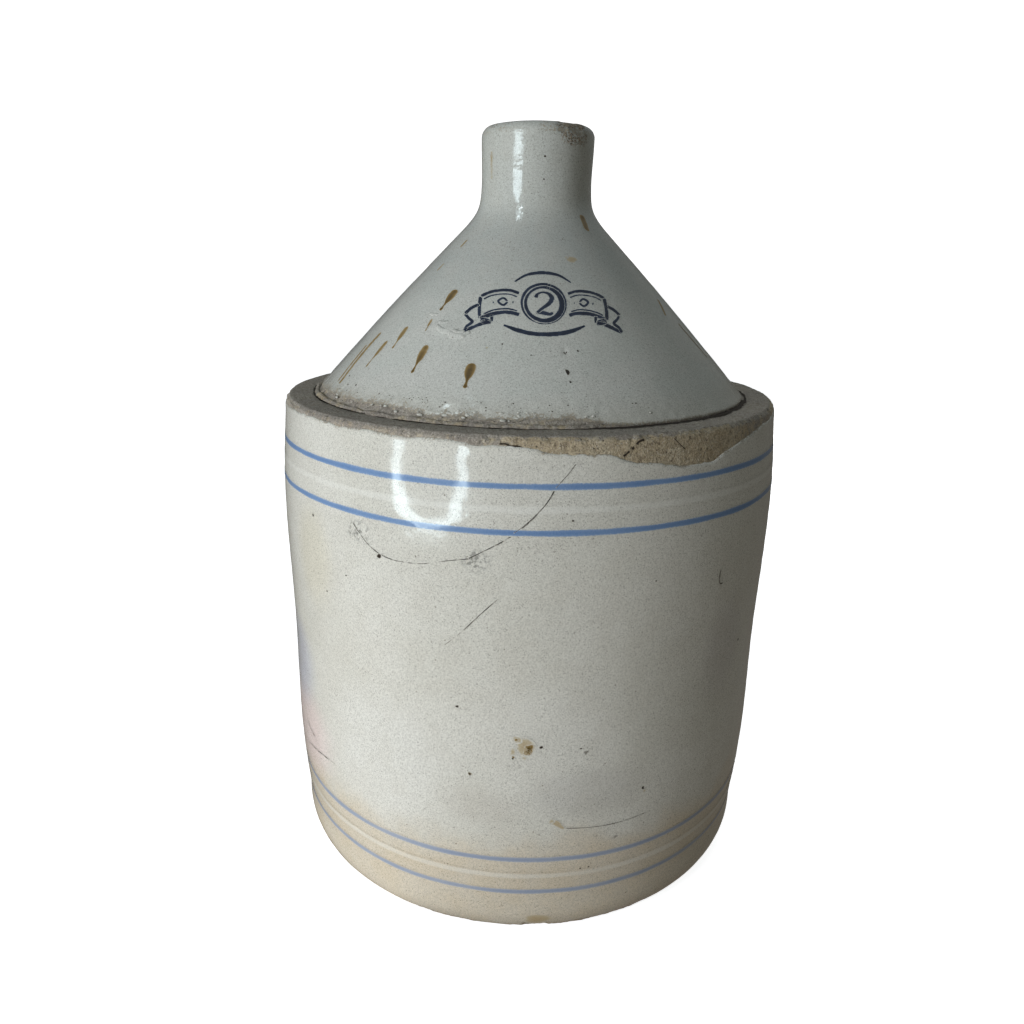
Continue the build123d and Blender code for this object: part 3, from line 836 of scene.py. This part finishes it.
def strap_points():
    """A pulled strap: two soft ridges with a thumb groove between, thicker towards both roots."""
    line = STRAP_ROUTE
    way = np.concatenate([[0], np.cumsum(np.linalg.norm(np.diff(line, axis=0), axis=1))])
    run = np.gradient(line, axis=0)
    run /= np.linalg.norm(run, axis=1, keepdims=True)
    out = np.stack([-run[:, 1], run[:, 0]], -1)
    left, right = way, way[-1] - way
    upper = 0.9 * np.exp(-((np.maximum(left - 6, 0) / 5.0) ** 1.3))
    root = np.clip(upper + np.exp(-((np.maximum(right - 8, 0) / 6.0) ** 1.3)), 0, 1)
    middle = np.sin(way / way[-1] * math.pi)
    wide = STRAP_HALF * (1 + 0.16 * root) * (1 - 0.05 * middle)
    thick = STRAP_THICK * (1 + 0.30 * root) * (1 - 0.06 * middle)
    turn = np.linspace(0, 2 * math.pi, 49)[:-1][None, :]
    c, s = np.cos(turn), np.sin(turn)
    x = wide[:, None] * np.sign(c) * np.abs(c) ** 0.62
    h = thick[:, None] * np.sign(s) * np.abs(s) ** 0.78
    across = x / wide[:, None]
    h = h * (1 - 0.13 * np.exp(-(across / 0.28) ** 2) + 0.05 * np.exp(-((np.abs(across) - 0.6) / 0.2) ** 2))
    y = line[:, :1] + out[:, :1] * h
    z = line[:, 1:] + out[:, 1:] * h
    x = x + 0.5 * np.sin(way / 23.0)[:, None]
    shift = LEAN * z + NECK_LEAN * np.maximum(z - LEDGE_Z, 0)
    points = np.stack([x + shift, y, z], -1)
    outward = np.stack([np.zeros_like(x), out[:, :1] * np.sign(h), out[:, 1:] * np.sign(h)], -1)
    return points + (0.30 * noise(points, 14, 141, 2) + 0.10 * noise(points, 4, 142))[..., None] * outward


keep(sheet("strap_handle", strap_points(), COAT_SKIN), "white_glaze", "handle_strap", "handle_glaze")


def root_wad(name, z0, rise, half_wide, half_tall, spread, height, node, seed):
    """Clay pressed and smeared round a root of the handle, with thumb marks, under the coat."""
    u = np.linspace(-1, 1, 61)[None, :]
    v = np.linspace(-1, 1, 61)[:, None]
    s, t = u * (half_wide + spread) * np.ones_like(v), v * (half_tall + spread) * np.ones_like(u)
    far = np.hypot(np.maximum(np.abs(s) - half_wide + 3, 0), np.maximum(np.abs(t) - half_tall + 3, 0)) - 3
    z = z0 + t * rise
    az = 180.0 + np.degrees(s / cone_r(z))
    p = place(az, cone_r(z), z)
    mound = height * step(far, spread * 0.92, -0.5) ** 1.4
    mound = mound * (1 + 0.25 * noise(p, 6.5, seed, 2)) - 0.4 * step(far, spread * 0.75, spread)
    grime = 0.5 * bump(far, spread * 0.7, 1.2) * step(noise(p, 4, seed + 2), 0, 0.5)
    keep(sheet(name, on_cone(az, z, mound), COAT_SKIN, {"grime": grime}, closed=False), "white_glaze", node)


root_wad("handle_root_upper", 308.2, 1.0, 13.6, 5.6, 6.5, 3.6, "handle_slip_upper", 151)
root_wad("handle_root_lower", 245.4, CONE_RISE, 14.2, 8.6, 8.0, 3.4, "handle_slip_lower", 161)

# ---------------- capacity mark: a plain ribbon with a ring and a numeral
mark = Bundle()
MARK_CENTRE = (4.2, 260.0)  # azimuth, height
RIBBON_SHAPE, RING_SHAPE = (0.93, 1.10), (0.86, 0.90)  # how far strokes are stretched sideways and upwards


def oval(wide, tall, thick):
    """A closed stroke with a slight overlap, of that thickness at each angle."""
    return [(wide * math.sin(a), tall * math.cos(a), thick(a)) for a in np.linspace(0.2, 0.36 + 2 * math.pi, 25)]


STROKES = [  # points of (across, up, thickness or 1), half width, strength, mirrored, stretch
    (oval(8.4, 9.2, lambda a: 1.0 + 0.35 * math.sin(a - 0.6)), 0.62, 1.0, False, RING_SHAPE),
    (oval(9.9, 10.8, lambda a: 0.8 + 0.35 * math.sin(a + 2)), 0.42, 0.8, False, (0.88, 0.92)),
    # the numeral's bow and foot
    ([(-3.7, 3.2, 1.1), (-2.9, 5.3, 0.7), (-0.3, 6.4, 0.6), (2.8, 5.2, 1.0), (3.7, 2.9, 1.3), (2.5, 0.4, 1.2),
      (-0.6, -2.3, 0.9), (-3.6, -5.2, 0.7)], 0.58, 0.85, False, RING_SHAPE),
    ([(-4.0, -5.2, 0.8), (-2.4, -4.6, 1.2), (0.2, -5.2, 1.2), (2.6, -5.7, 1.0), (4.3, -4.6, 0.6)],
     0.62, 0.8, False, RING_SHAPE),
    # the ribbon's outline, inner lines, folds and tails
    ([(10.2, 4.6), (14, 5.8), (19, 5.7), (24, 4.4), (27.4, 2.6)], 0.5, 1.0, True, RIBBON_SHAPE),
    ([(10.3, -5.2), (14, -4.3), (19, -4.5), (24, -5.9), (27.6, -7.6)], 0.66, 1.0, True, RIBBON_SHAPE),
    ([(27.4, 2.6), (27.9, -2.6), (27.6, -7.6)], 0.55, 1.0, True, RIBBON_SHAPE),
    ([(11.0, 2.9), (14.5, 4.0), (19, 3.9), (23.6, 2.7), (26.1, 1.3)], 0.3, 0.75, True, RIBBON_SHAPE),
    ([(11.1, -3.6), (14.5, -2.7), (19, -2.9), (23.6, -4.2), (26.2, -5.6)], 0.3, 0.75, True, RIBBON_SHAPE),
    ([(28.0, -1.0), (31.2, -2.6), (34.6, -5.6)], 0.5, 1.0, True, RIBBON_SHAPE),
    ([(34.6, -5.6), (32.6, -7.6), (31.0, -8.8), (33.4, -11.2), (34.8, -13.4)], 0.5, 1.0, True, RIBBON_SHAPE),
    ([(34.8, -13.4), (30.0, -11.2), (26.0, -9.4), (22.4, -8.8)], 0.62, 1.0, True, RIBBON_SHAPE),
    ([(22.4, -8.8), (22.3, -7.2), (22.4, -5.6)], 0.45, 1.0, True, RIBBON_SHAPE),
    ([(22.6, -8.6, 0.7), (25.0, -8.4, 1.3), (27.6, -7.8, 0.9)], 0.8, 1.0, True, RIBBON_SHAPE),
    # a lozenge and a dot each side of it
    ([(15.2, 0.6, 0.8), (17.2, 2.2), (19.4, 0.7), (17.3, -1.0), (15.2, 0.6, 0.8)],
     0.4, 0.9, True, RIBBON_SHAPE),
    ([(12.6, 0.4, 0.8), (13.6, 0.5, 1.1)], 0.5, 0.8, True, RIBBON_SHAPE),
    ([(21.0, 0.1, 1.1), (22.2, -0.1, 0.8)], 0.5, 0.8, True, RIBBON_SHAPE),
    # an arc above and below
    ([(-12.4, 9.8, 0.5), (-7.0, 13.2, 0.9), (0, 14.4, 1.3), (7.0, 13.2, 0.9), (12.4, 9.8, 0.5)],
     0.5, 1.0, False, RIBBON_SHAPE),
    ([(-17.4, -9.8, 0.5), (-11.0, -12.2, 1.2), (-4.0, -13.5, 1.2), (4.0, -13.5, 1.3), (11.0, -12.2, 1.2),
      (17.4, -9.8, 0.5)], 0.6, 1.0, False, RIBBON_SHAPE),
]
for seed, (points, half, dark, mirrored, (wide, tall)) in enumerate(STROKES, 3):
    for sign in (1, -1) if mirrored else (1,):
        path = [(sign * s * wide, t * tall, (thick[0] if thick else 1) * half * 1.8, dark) for s, t, *thick in points]
        ribbon(mark, cone_chart(*MARK_CENTRE), path, lift=0.05, pitch=0.35, seed=seed if sign > 0 else seed + 50,
               ragged=0.32)
keep(mark.piece("capacity_mark_ink", INK), "stamp_ink")

# ---------------- iron splashes, streaks, stains and specks
def surface_path(way, radius, rise, halves, dark):
    """A ribbon's path from (azimuth, height) points, measured from the first."""
    a0, z0 = way[0]
    return [(math.radians(a - a0) * float(radius(z)), (z - z0) / rise, half, dark)
            for (a, z), half in zip(way, halves)]


def spots(bundle, on, places, first_seed, uneven=0.25):
    """Spots at (azimuth, height, radius, height over width, strength or 1)."""
    for seed, (az, height, radius, tall, *dark) in enumerate(places, first_seed):
        spot(bundle, on(az, height), radius, tall=tall, strength=dark[0] if dark else 1.0, seed=seed, uneven=uneven)


SPLASHES = [  # head azimuth and height, tail azimuth and height, half width, strength
    (-33.7, 264.4, -35.8, 256.0, 1.75, 1.0), (-33.0, 243.8, -33.0, 233.2, 1.7, 0.85),
    (-16.1, 238.6, -16.2, 229.8, 1.9, 1.0), (-46.4, 249.6, -46.3, 240.6, 1.5, 0.58),
    (-37.0, 253.2, -36.8, 248.2, 0.8, 0.5), (-51.6, 243.6, -52.6, 232.6, 1.4, 0.55),
]
DRIP = [  # share of the way from head to tail, width, strength: a full head, a waist and a small end drop
    (0, 0.25, 0.5), (0.07, 0.72, 0.8), (0.2, 1.0, 0.85), (0.36, 0.98, 1.0), (0.52, 0.72, 1.1), (0.64, 0.38, 1.0),
    (0.74, 0.24, 0.85), (0.84, 0.30, 0.9), (0.93, 0.42, 1.15), (1.0, 0.15, 0.8),
]
splashes = Bundle()
for seed, (a1, z1, a2, z2, half, dark) in enumerate(SPLASHES, 200):
    a0, z0 = (a1 + a2) / 2, (z1 + z2) / 2
    across, up = math.radians(a2 - a1) * float(cone_r(z0)), (z2 - z1) / CONE_RISE
    path = [(across * (k - 0.5), up * (k - 0.5), half * 1.3 * w, dark * d) for k, w, d in DRIP]
    ribbon(splashes, cone_chart(a0, z0), path, lift=0.05, pitch=0.4, across=9, seed=seed, ragged=0.10, dome=0.10)
spots(splashes, wall_chart, [(1.6, 93.8, 2.3, 1.2), (1.7, 92.4, 1.2, 0.9), (-0.9, 98.0, 0.9, 0.9, 0.6),
                             (-1.4, 90.2, 0.6, 0.9, 0.7)], 250, 0.4)
keep(splashes.piece("iron_splashes", BROWN), "brown_slip")

# Blisters left of the mark, where gas crept under the coat: wrinkled crescents of raised glaze.
BLISTER_FOLDS = [  # chart centre, points of (across, up, half width, strength), columns, raggedness, rise
    ((-27.0, 249.0), [(-7.5, 2.2, 0.9, 0.7), (-4.5, 0.2, 1.3, 1.0), (-1.0, -0.6, 1.1, 0.8), (2.4, -2.2, 1.5, 1.0),
                      (6.0, -1.8, 1.6, 1.0), (8.6, 0.6, 0.9, 0.8)], 11, 0.5, 0.5),
    ((-27.0, 249.0), [(1.0, 0.6, 0.7, 0.7), (3.6, -0.3, 0.9, 1.0), (6.4, 0.4, 0.7, 0.8)], 9, 0.4, 0.5),
    ((-27.0, 249.0), [(-8.0, 4.6, 0.8, 0.6), (-5.0, 4.0, 1.0, 0.8), (-2.4, 4.9, 0.8, 0.6)], 9, 0.5, 0.35),
    ((-37.5, 254.5), [(-2.6, 0.4, 0.6, 0.7), (0, 0, 0.8, 1.0), (2.6, 0.3, 0.6, 0.7)], 9, 0.5, 0.35),
]
blisters = Bundle()
for seed, (centre, path, columns, ragged, dome) in enumerate(BLISTER_FOLDS, 461):
    ribbon(blisters, cone_chart(*centre), path, lift=-0.05, pitch=0.4, across=columns, seed=seed, ragged=ragged,
           dome=dome)
keep(blisters.piece("glaze_blisters", COAT_SKIN), "white_glaze")

STREAKS = [  # points of azimuth and height, half width, strength
    ([(-60.2, 246.0), (-61.2, 240.8), (-61.0, 233.0), (-60.6, 224.6)], 1.4, 0.52),
    ([(-63.6, 240.5), (-63.2, 232.0), (-62.8, 225.0)], 1.0, 0.42),
    ([(-51.3, 284.4), (-52.6, 280.6)], 0.8, 0.42), ([(-55.2, 274.6), (-56.7, 270.9)], 0.8, 0.34),
    ([(46.6, 295.4), (45.0, 291.5), (43.0, 288.2)], 1.5, 0.6),
    ([(65.7, 260.9), (62.6, 257.4), (60.0, 254.3)], 1.0, 0.5), ([(67, 251), (69, 243), (70.5, 236.3)], 0.9, 0.6),
    ([(-52.5, 321.0), (-53.0, 315.0), (-52.0, 309.0)], 1.1, 0.26),
    ([(118, 268), (117.4, 262), (117.2, 257)], 1.2, 0.8), ([(-128, 252), (-128.4, 246), (-128.6, 240)], 1.3, 0.8),
]
streaks = Bundle()
for seed, (way, half, dark) in enumerate(STREAKS, 230):
    rise = CONE_RISE if way[0][1] < 290 else 1.0
    taper = [0.45 + 0.55 * math.sin(math.pi * (0.25 + 0.6 * k / (len(way) - 1))) for k in range(len(way))]
    path = surface_path(way, cone_r, rise, [half * 1.4 * k for k in taper], dark)
    ribbon(streaks, chart(on_cone, cone_r, rise, *way[0]), path, seed=seed, ragged=0.25)
keep(streaks.piece("iron_streaks", BROWN), "brown_slip")

pale = Bundle()
spots(pale, cone_chart, [(20.5, 276.8, 2.7, 0.8), (17.6, 277.6, 1.0, 0.7, 0.5), (-2.4, 250.4, 1.6, 0.5, 0.7),
                         (-13.0, 244.0, 0.8, 1.0, 0.5)], 240)
spots(pale, wall_chart, [(1.0, 95.0, 4.4, 1.1), (-0.6, 98.2, 2.0, 0.9, 0.8), (-1.5, 92.4, 1.6, 1.2, 0.6),
                         (0.8, 89.9, 1.2, 0.8, 0.5), (-10.0, 80.9, 0.9, 1.0, 0.9), (6.6, 60.2, 1.5, 0.9, 0.6),
                         (26.8, 67.6, 0.9, 1.0, 0.5)], 260, 0.45)
ribbon(pale, wall_chart(6.4, 60.4), [(0, 0, 0.9, 0.9), (2.6, -1.2, 1.5, 1.0), (4.4, -3.0, 1.0, 0.9),
                                     (6.0, -4.4, 0.5, 0.7)], seed=270)
spots(pale, wall_chart, [(BASE_CHIP_AZ, 8.6, 6.0, 0.6)], 271, 0.5)
keep(pale.piece("pale_iron_stains", TAN), "brown_slip")

WALL_SPECKS = [  # azimuth, height, radius, height over width
    (-28.8, 168, 1.35, 0.9), (-12.7, 110.5, 0.65, 1.0), (26.4, 69.3, 0.8, 1.0), (13.4, 34.6, 0.6, 0.8),
    (15.2, 34.9, 0.5, 0.8), (8.4, 188.0, 0.45, 1.0), (-38.0, 155.8, 0.45, 1.0), (25.4, 162.0, 0.4, 1.2),
    (-48.8, 175.9, 0.7, 1.0), (-45.0, 144.8, 0.6, 1.0), (42.6, 156.3, 0.7, 1.5), (4.1, 94.7, 0.75, 0.9),
    (0.8, 93.6, 0.6, 1.0), (1.3, 92.4, 0.7, 0.8), (-1.5, 89.6, 0.55, 0.9), (12.0, 93.2, 0.5, 0.8),
    (-10, 80.9, 0.75, 1), (55, 120, 0.7, 1), (98, 150, 0.9, 1), (141, 96, 0.8, 1), (-96, 132, 0.8, 1),
    (-140, 170, 0.9, 1), (170, 60, 0.8, 1),
]
CONE_SPECKS = [
    (9.7, 236.3, 0.95, 1.7), (10.2, 232.9, 0.5, 1.2), (9.9, 243.2, 0.7, 1.7), (13.6, 243.4, 0.5, 1),
    (0.0, 241.9, 0.4, 1), (-8.7, 245.4, 0.45, 1), (-58, 228.5, 0.6, 1), (-51, 226.2, 0.55, 1), (7.0, 318, 0.5, 1),
    (7.0, 309, 0.45, 1),
]
specks = Bundle()
spots(specks, wall_chart, WALL_SPECKS, 280, 0.4)
spots(specks, cone_chart, CONE_SPECKS, 310, 0.4)
for _ in range(64):
    a0 = rng.normal(-20, 30)
    spot(specks, cone_chart(a0, SLIP_TOP_Z + rng.uniform(0.8, 4.6)), rng.uniform(0.25, 0.6),
         tall=rng.uniform(0.5, 1.0), strength=rng.uniform(0.5, 1), seed=int(rng.integers(1, 900)))
keep(specks.piece("iron_specks", SOOT), "brown_slip")

# ---------------- cracks
HAIRS = [  # azimuth and height points, half width, strength, raggedness, lift, seed
    # where the long crack crosses the two upper bands, it is drawn over them, narrow and dark to its edges
    ([(8.6, 208.6), (7.9, 206.6), (5.1, 200.0)], 0.105, 3.0, 0.1, 0.04, 408),
    ([(1.4, 189.7), (0.5, 187.6), (-2.2, 183.3)], 0.105, 3.0, 0.1, 0.04, 409),
    # the long crack, under the bands
    ([(5.1, 200.0), (3.8, 195.3), (0.5, 187.6), (-4.5, 179.5), (-7.2, 176.3), (-10.7, 172.2)],
     0.285, 1.0, 0.8, 0.03, 401),
    ([(-10.2, 172.6), (-15.5, 170.4), (-19.0, 168.6), (-23.1, 167.9), (-26.0, 168.0), (-28.8, 169.3), (-31.5, 172.0),
      (-33.7, 175.8), (-35.5, 179.2)], 0.255, 0.72, 0.7, 0.04, 402),
    ([(-4.3, 158.6), (-8.0, 151.0), (-11.6, 143.0), (-15.3, 135.9)], 0.255, 0.6, 0.7, 0.04, 403),
    ([(9.5, 56.4), (14.0, 55.6), (19, 55.2), (24, 55.7), (28.5, 56.6)], 0.225, 0.5, 0.7, 0.04, 404),
    ([(-67.2, 53.6), (-60.0, 56.6), (-56.8, 58.0), (-49.7, 60.4), (-45.6, 61.0)], 0.33, 0.5, 0.7, 0.04, 406),
    ([(-62.0, 70.0), (-59.0, 66.5), (-55.5, 65.0)], 0.3, 0.45, 0.7, 0.04, 407),
]
BARE_CRACKS = [  # azimuth and height points, half width
    ([(-5.2, 215.2), (-4.2, 215.3), (-3.1, 214.5), (-2.0, 214.6), (-0.8, 213.9)], 0.3),
    ([(21.6, 216.2), (20.4, 215.3), (20.2, 214.6)], 0.45), ([(19.6, 213.6), (19.2, 213.1)], 0.5),
    ([(18.7, 212.3), (18.2, 211.5), (17.6, 210.6)], 0.36), ([(28.2, 215.6), (29.4, 213.6), (30.9, 211.2)], 0.14),
]


def wavering(half, count):
    """Half widths along a crack, which opens and closes."""
    return [half * (0.7 + 0.5 * abs(math.sin(2.1 * k + 0.7))) for k in range(count)]


hairs = Bundle()
for way, half, dark, ragged, lift, seed in HAIRS:
    path = surface_path(way, wall_r, 1.0, wavering(half, len(way)), dark)
    ribbon(hairs, wall_chart(*way[0]), path, lift=lift, seed=seed, ragged=ragged, across=5)
ribbon(hairs, wall_chart(42.8, 160.0), [(0, 0, 0.4, 0.6), (-0.2, -5.0, 0.5, 0.7), (0.6, -6.6, 0.5, 0.7),
                                        (3.0, -6.8, 0.4, 0.5)], seed=405, ragged=0.6, across=5)
spots(hairs, wall_chart, [(13.1, 91.2, 1.9, 0.7, 0.5), (20.8, 48.2, 1.8, 0.8, 0.45), (16.0, 50.5, 1.0, 1.0, 0.35)],
      290, 0.5)
keep(hairs.piece("hairline_cracks", HAIR), "white_glaze")

cracks = Bundle()
for seed, (way, half) in enumerate(BARE_CRACKS, 411):
    path = surface_path(way, wall_r, 1.0, wavering(half, len(way)), 1.0)
    ribbon(cracks, wall_chart(*way[0], on_clay), path, lift=0.16, pitch=0.3, across=3, seed=seed)
keep(cracks.piece("bare_edge_cracks", SEAM_SHADE_AND_CRACK_DIRT), "bare_stoneware")

# ---------------- floor, backdrop, light, camera
def plain_surface(name, colour, glow):
    """A pale matt surface with a little light of its own, faintly uneven."""
    s = Shader(name)
    tone = s.step(s.noise(300, 2), 0.3, 0.7)
    shade = s.mix(tone, colour, tuple(c * 0.985 for c in colour[:3]) + (1.0,))
    matt = s.node("ShaderNodeBsdfDiffuse")
    s.link(shade, matt.inputs["Color"])
    both = s.node("ShaderNodeAddShader")
    s.link(matt.outputs[0], both.inputs[0])
    s.link(s.emission(shade, glow).outputs[0], both.inputs[1])
    return s.done(both)


def unseen_by_jug(piece):
    """Keeps a staged surface's light off the jug."""
    piece.visible_diffuse = False
    piece.visible_glossy = False
    piece.visible_transmission = False
    piece.visible_shadow = False


REACH = 9000.0
turn = np.linspace(0, 2 * math.pi, 65)[:-1]
rings = np.array([0.0001, 200, 600, 1500, 4000, REACH])[:, None]
points = np.stack([rings * np.cos(turn), rings * np.sin(turn), np.zeros((6, 64))], -1)
floor = sheet("floor", points, plain_surface("pale_floor", (0.86, 0.86, 0.86, 1), 0.98))
rise = np.linspace(-0.02, math.pi / 2 - 0.01, 12)[:, None]
out, up = REACH * np.cos(rise), REACH * np.sin(rise)
points = np.stack([out * np.cos(turn), out * np.sin(turn), up * np.ones_like(turn)], -1)
dome = sheet("backdrop", points, plain_surface("pale_backdrop", (0.9, 0.9, 0.9, 1), 1.25))
for surface in (floor, dome):
    unseen_by_jug(surface)

SKY = [  # share of the way from below to above, colour
    (0.0, (0.170, 0.148, 0.120)), (0.5, (0.074, 0.071, 0.064)), (1.0, (0.310, 0.345, 0.360)),
]
world = bpy.data.worlds.new("room")
bpy.context.scene.world = world
world.use_nodes = True
tree = world.node_tree
tree.nodes.clear()
direction, axis, height, sky, back, out = (tree.nodes.new("ShaderNode" + kind) for kind in (
    "TexCoord", "SeparateXYZ", "MapRange", "ValToRGB", "Background", "OutputWorld"))
height.inputs[1].default_value, height.inputs[2].default_value = -1.0, 1.0
sky.color_ramp.elements.new(0.5)
for element, (at, colour) in zip(sky.color_ramp.elements, SKY):
    element.position, element.color = at, colour + (1,)
for start, end in ((direction.outputs["Generated"], axis.inputs[0]), (axis.outputs["Z"], height.inputs[0]),
                   (height.outputs[0], sky.inputs[0]), (sky.outputs[0], back.inputs["Color"]),
                   (back.outputs[0], out.inputs[0])):
    tree.links.new(start, end)


def area_light(name, at, aim, wide, tall, glow, colour):
    """A soft panel of the given brightness, lighting the jug but not mirrored in it. at and aim are in mm."""
    data = bpy.data.lights.new(name, "AREA")
    data.shape, data.size, data.size_y = "RECTANGLE", wide * MM, tall * MM
    data.energy = glow * math.pi * wide * tall * MM * MM
    data.color = colour
    lamp = bpy.data.objects.new(name, data)
    bpy.context.scene.collection.objects.link(lamp)
    lamp.location = Vector(at) * MM
    lamp.rotation_euler = (Vector(aim) - Vector(at)).to_track_quat("-Z", "Y").to_euler()
    lamp.visible_camera = lamp.visible_glossy = False


def toward(az, elevation, distance):
    """The point that far from the jug's middle, in mm."""
    a, e = math.radians(az), math.radians(elevation)
    flat = distance * math.cos(e)
    return flat * math.sin(a), -flat * math.cos(a), 170 + distance * math.sin(e)


EYE = (0.0, -395.25, 278.33)
CAMERA_TURN = (72.7288, -0.9209, 1.2236)


def smooth_wall(az, z):
    return place(az, wall_r(z) + COAT, z)


def smooth_cone(az, z):
    return place(az, cone_r(z) + COAT, z)


def bounced(surface, az, z, distance):
    """The point whose reflection the camera sees at that place on a surface."""
    here, beside, above = [Vector([float(c) for c in surface(np.float64(a), np.float64(h))])
                           for a, h in [(az, z), (az + 0.5, z), (az, z + 0.5)]]
    out = (beside - here).cross(above - here).normalized()
    look = (here - Vector(EYE)).normalized()
    return here + (look - 2 * look.dot(out) * out) * distance


PANE_COLOUR = (0.84, 1.0, 1.06, 1)


def bright_pane(name, surface, radius, distance, strength, seen_on, path):
    """A strip of light seen only as its reflection along a path of (azimuth, height, half width) on a surface."""
    line = resample([(math.radians(a) * radius, h, w, 1.0) for a, h, w in path], 1.2)
    run = np.gradient(line[:, :2], axis=0)
    run /= np.linalg.norm(run, axis=1, keepdims=True)
    strip = []
    for k in (-1.0, -0.33, 0.33, 1.0):
        s, t = line[:, 0] - run[:, 1] * k * line[:, 2], line[:, 1] + run[:, 0] * k * line[:, 2]
        strip.append([list(bounced(surface, math.degrees(a / radius), h, distance)) for a, h in zip(s, t)])
    s = Shader(name)
    glow = s.done(s.emission(PANE_COLOUR, strength))
    pane = sheet(name, np.array(strip), glow, closed=False)
    pane.visible_camera = pane.visible_diffuse = pane.visible_shadow = False
    lit = bpy.data.collections.new(name + "_lights")
    for piece in bpy.context.scene.objects:
        if piece.name.startswith(seen_on):
            lit.objects.link(piece)
    pane.light_linking.receiver_collection = lit


for light in (  # name, place, aim, width, height, brightness, colour
    ("window", toward(-45, 6, 1100), (0, 0, 170), 520, 560, 10.7, (0.945, 1.0, 1.085)),
    ("floor_glow_left", (-310, -210, -4), (-310, -210, 100), 520, 520, 0.74, (1.04, 1.0, 0.95)),
    ("floor_glow_right", (130, -330, -4), (130, -330, 100), 420, 420, 0.17, (1.06, 1.0, 0.94)),
    ("back_panel", toward(160, 14, 1300), (0, 0, 150), 900, 500, 5.0, (1, 1, 1)),
):
    area_light(*light)
bright_pane("wall_pane", smooth_wall, 115.0, 190.0, 10.5, ("pot_white", "band_", "hairline"), [
    (-25.0, 217.5, 1.7), (-24.9, 208.2, 1.8), (-24.9, 200.8, 2.1), (-24.7, 195.4, 2.7), (-23.9, 190.4, 3.0),
    (-22.2, 186.3, 3.0), (-19.7, 183.8, 3.0), (-16.9, 183.3, 3.0), (-14.5, 185.4, 2.7), (-12.8, 189.5, 2.3),
    (-12.1, 194.3, 2.0), (-11.8, 199.1, 1.8), (-12.0, 205.2, 1.6), (-12.2, 210.6, 1.4), (-12.0, 217.5, 1.2)])
bright_pane("neck_pane", smooth_cone, 24.5, 150.0, 9.5, ("shoulder_white",), [
    (-19.5, 328.0, 0.8), (-19.8, 322.0, 1.9), (-19.6, 312.0, 1.9), (-19.0, 305.0, 1.3), (-18.0, 299.5, 0.6)])
bright_pane("neck_spot", smooth_cone, 26.0, 7.0, 34.0, ("shoulder_white",), [
    (-17.2, 295.4, 0.6), (-14.5, 295.0, 1.0), (-11.8, 295.2, 0.6)])

camera_data = bpy.data.cameras.new("camera")
camera_data.sensor_width = 36.0
camera_data.lens = 28.996
camera = bpy.data.objects.new("camera", camera_data)
bpy.context.scene.collection.objects.link(camera)
camera.location = Vector(EYE) * MM
camera.rotation_euler = [math.radians(angle) for angle in CAMERA_TURN]
bpy.context.scene.camera = camera
bpy.context.scene.view_settings.view_transform = "Standard"
bpy.context.scene.view_settings.look = "None"
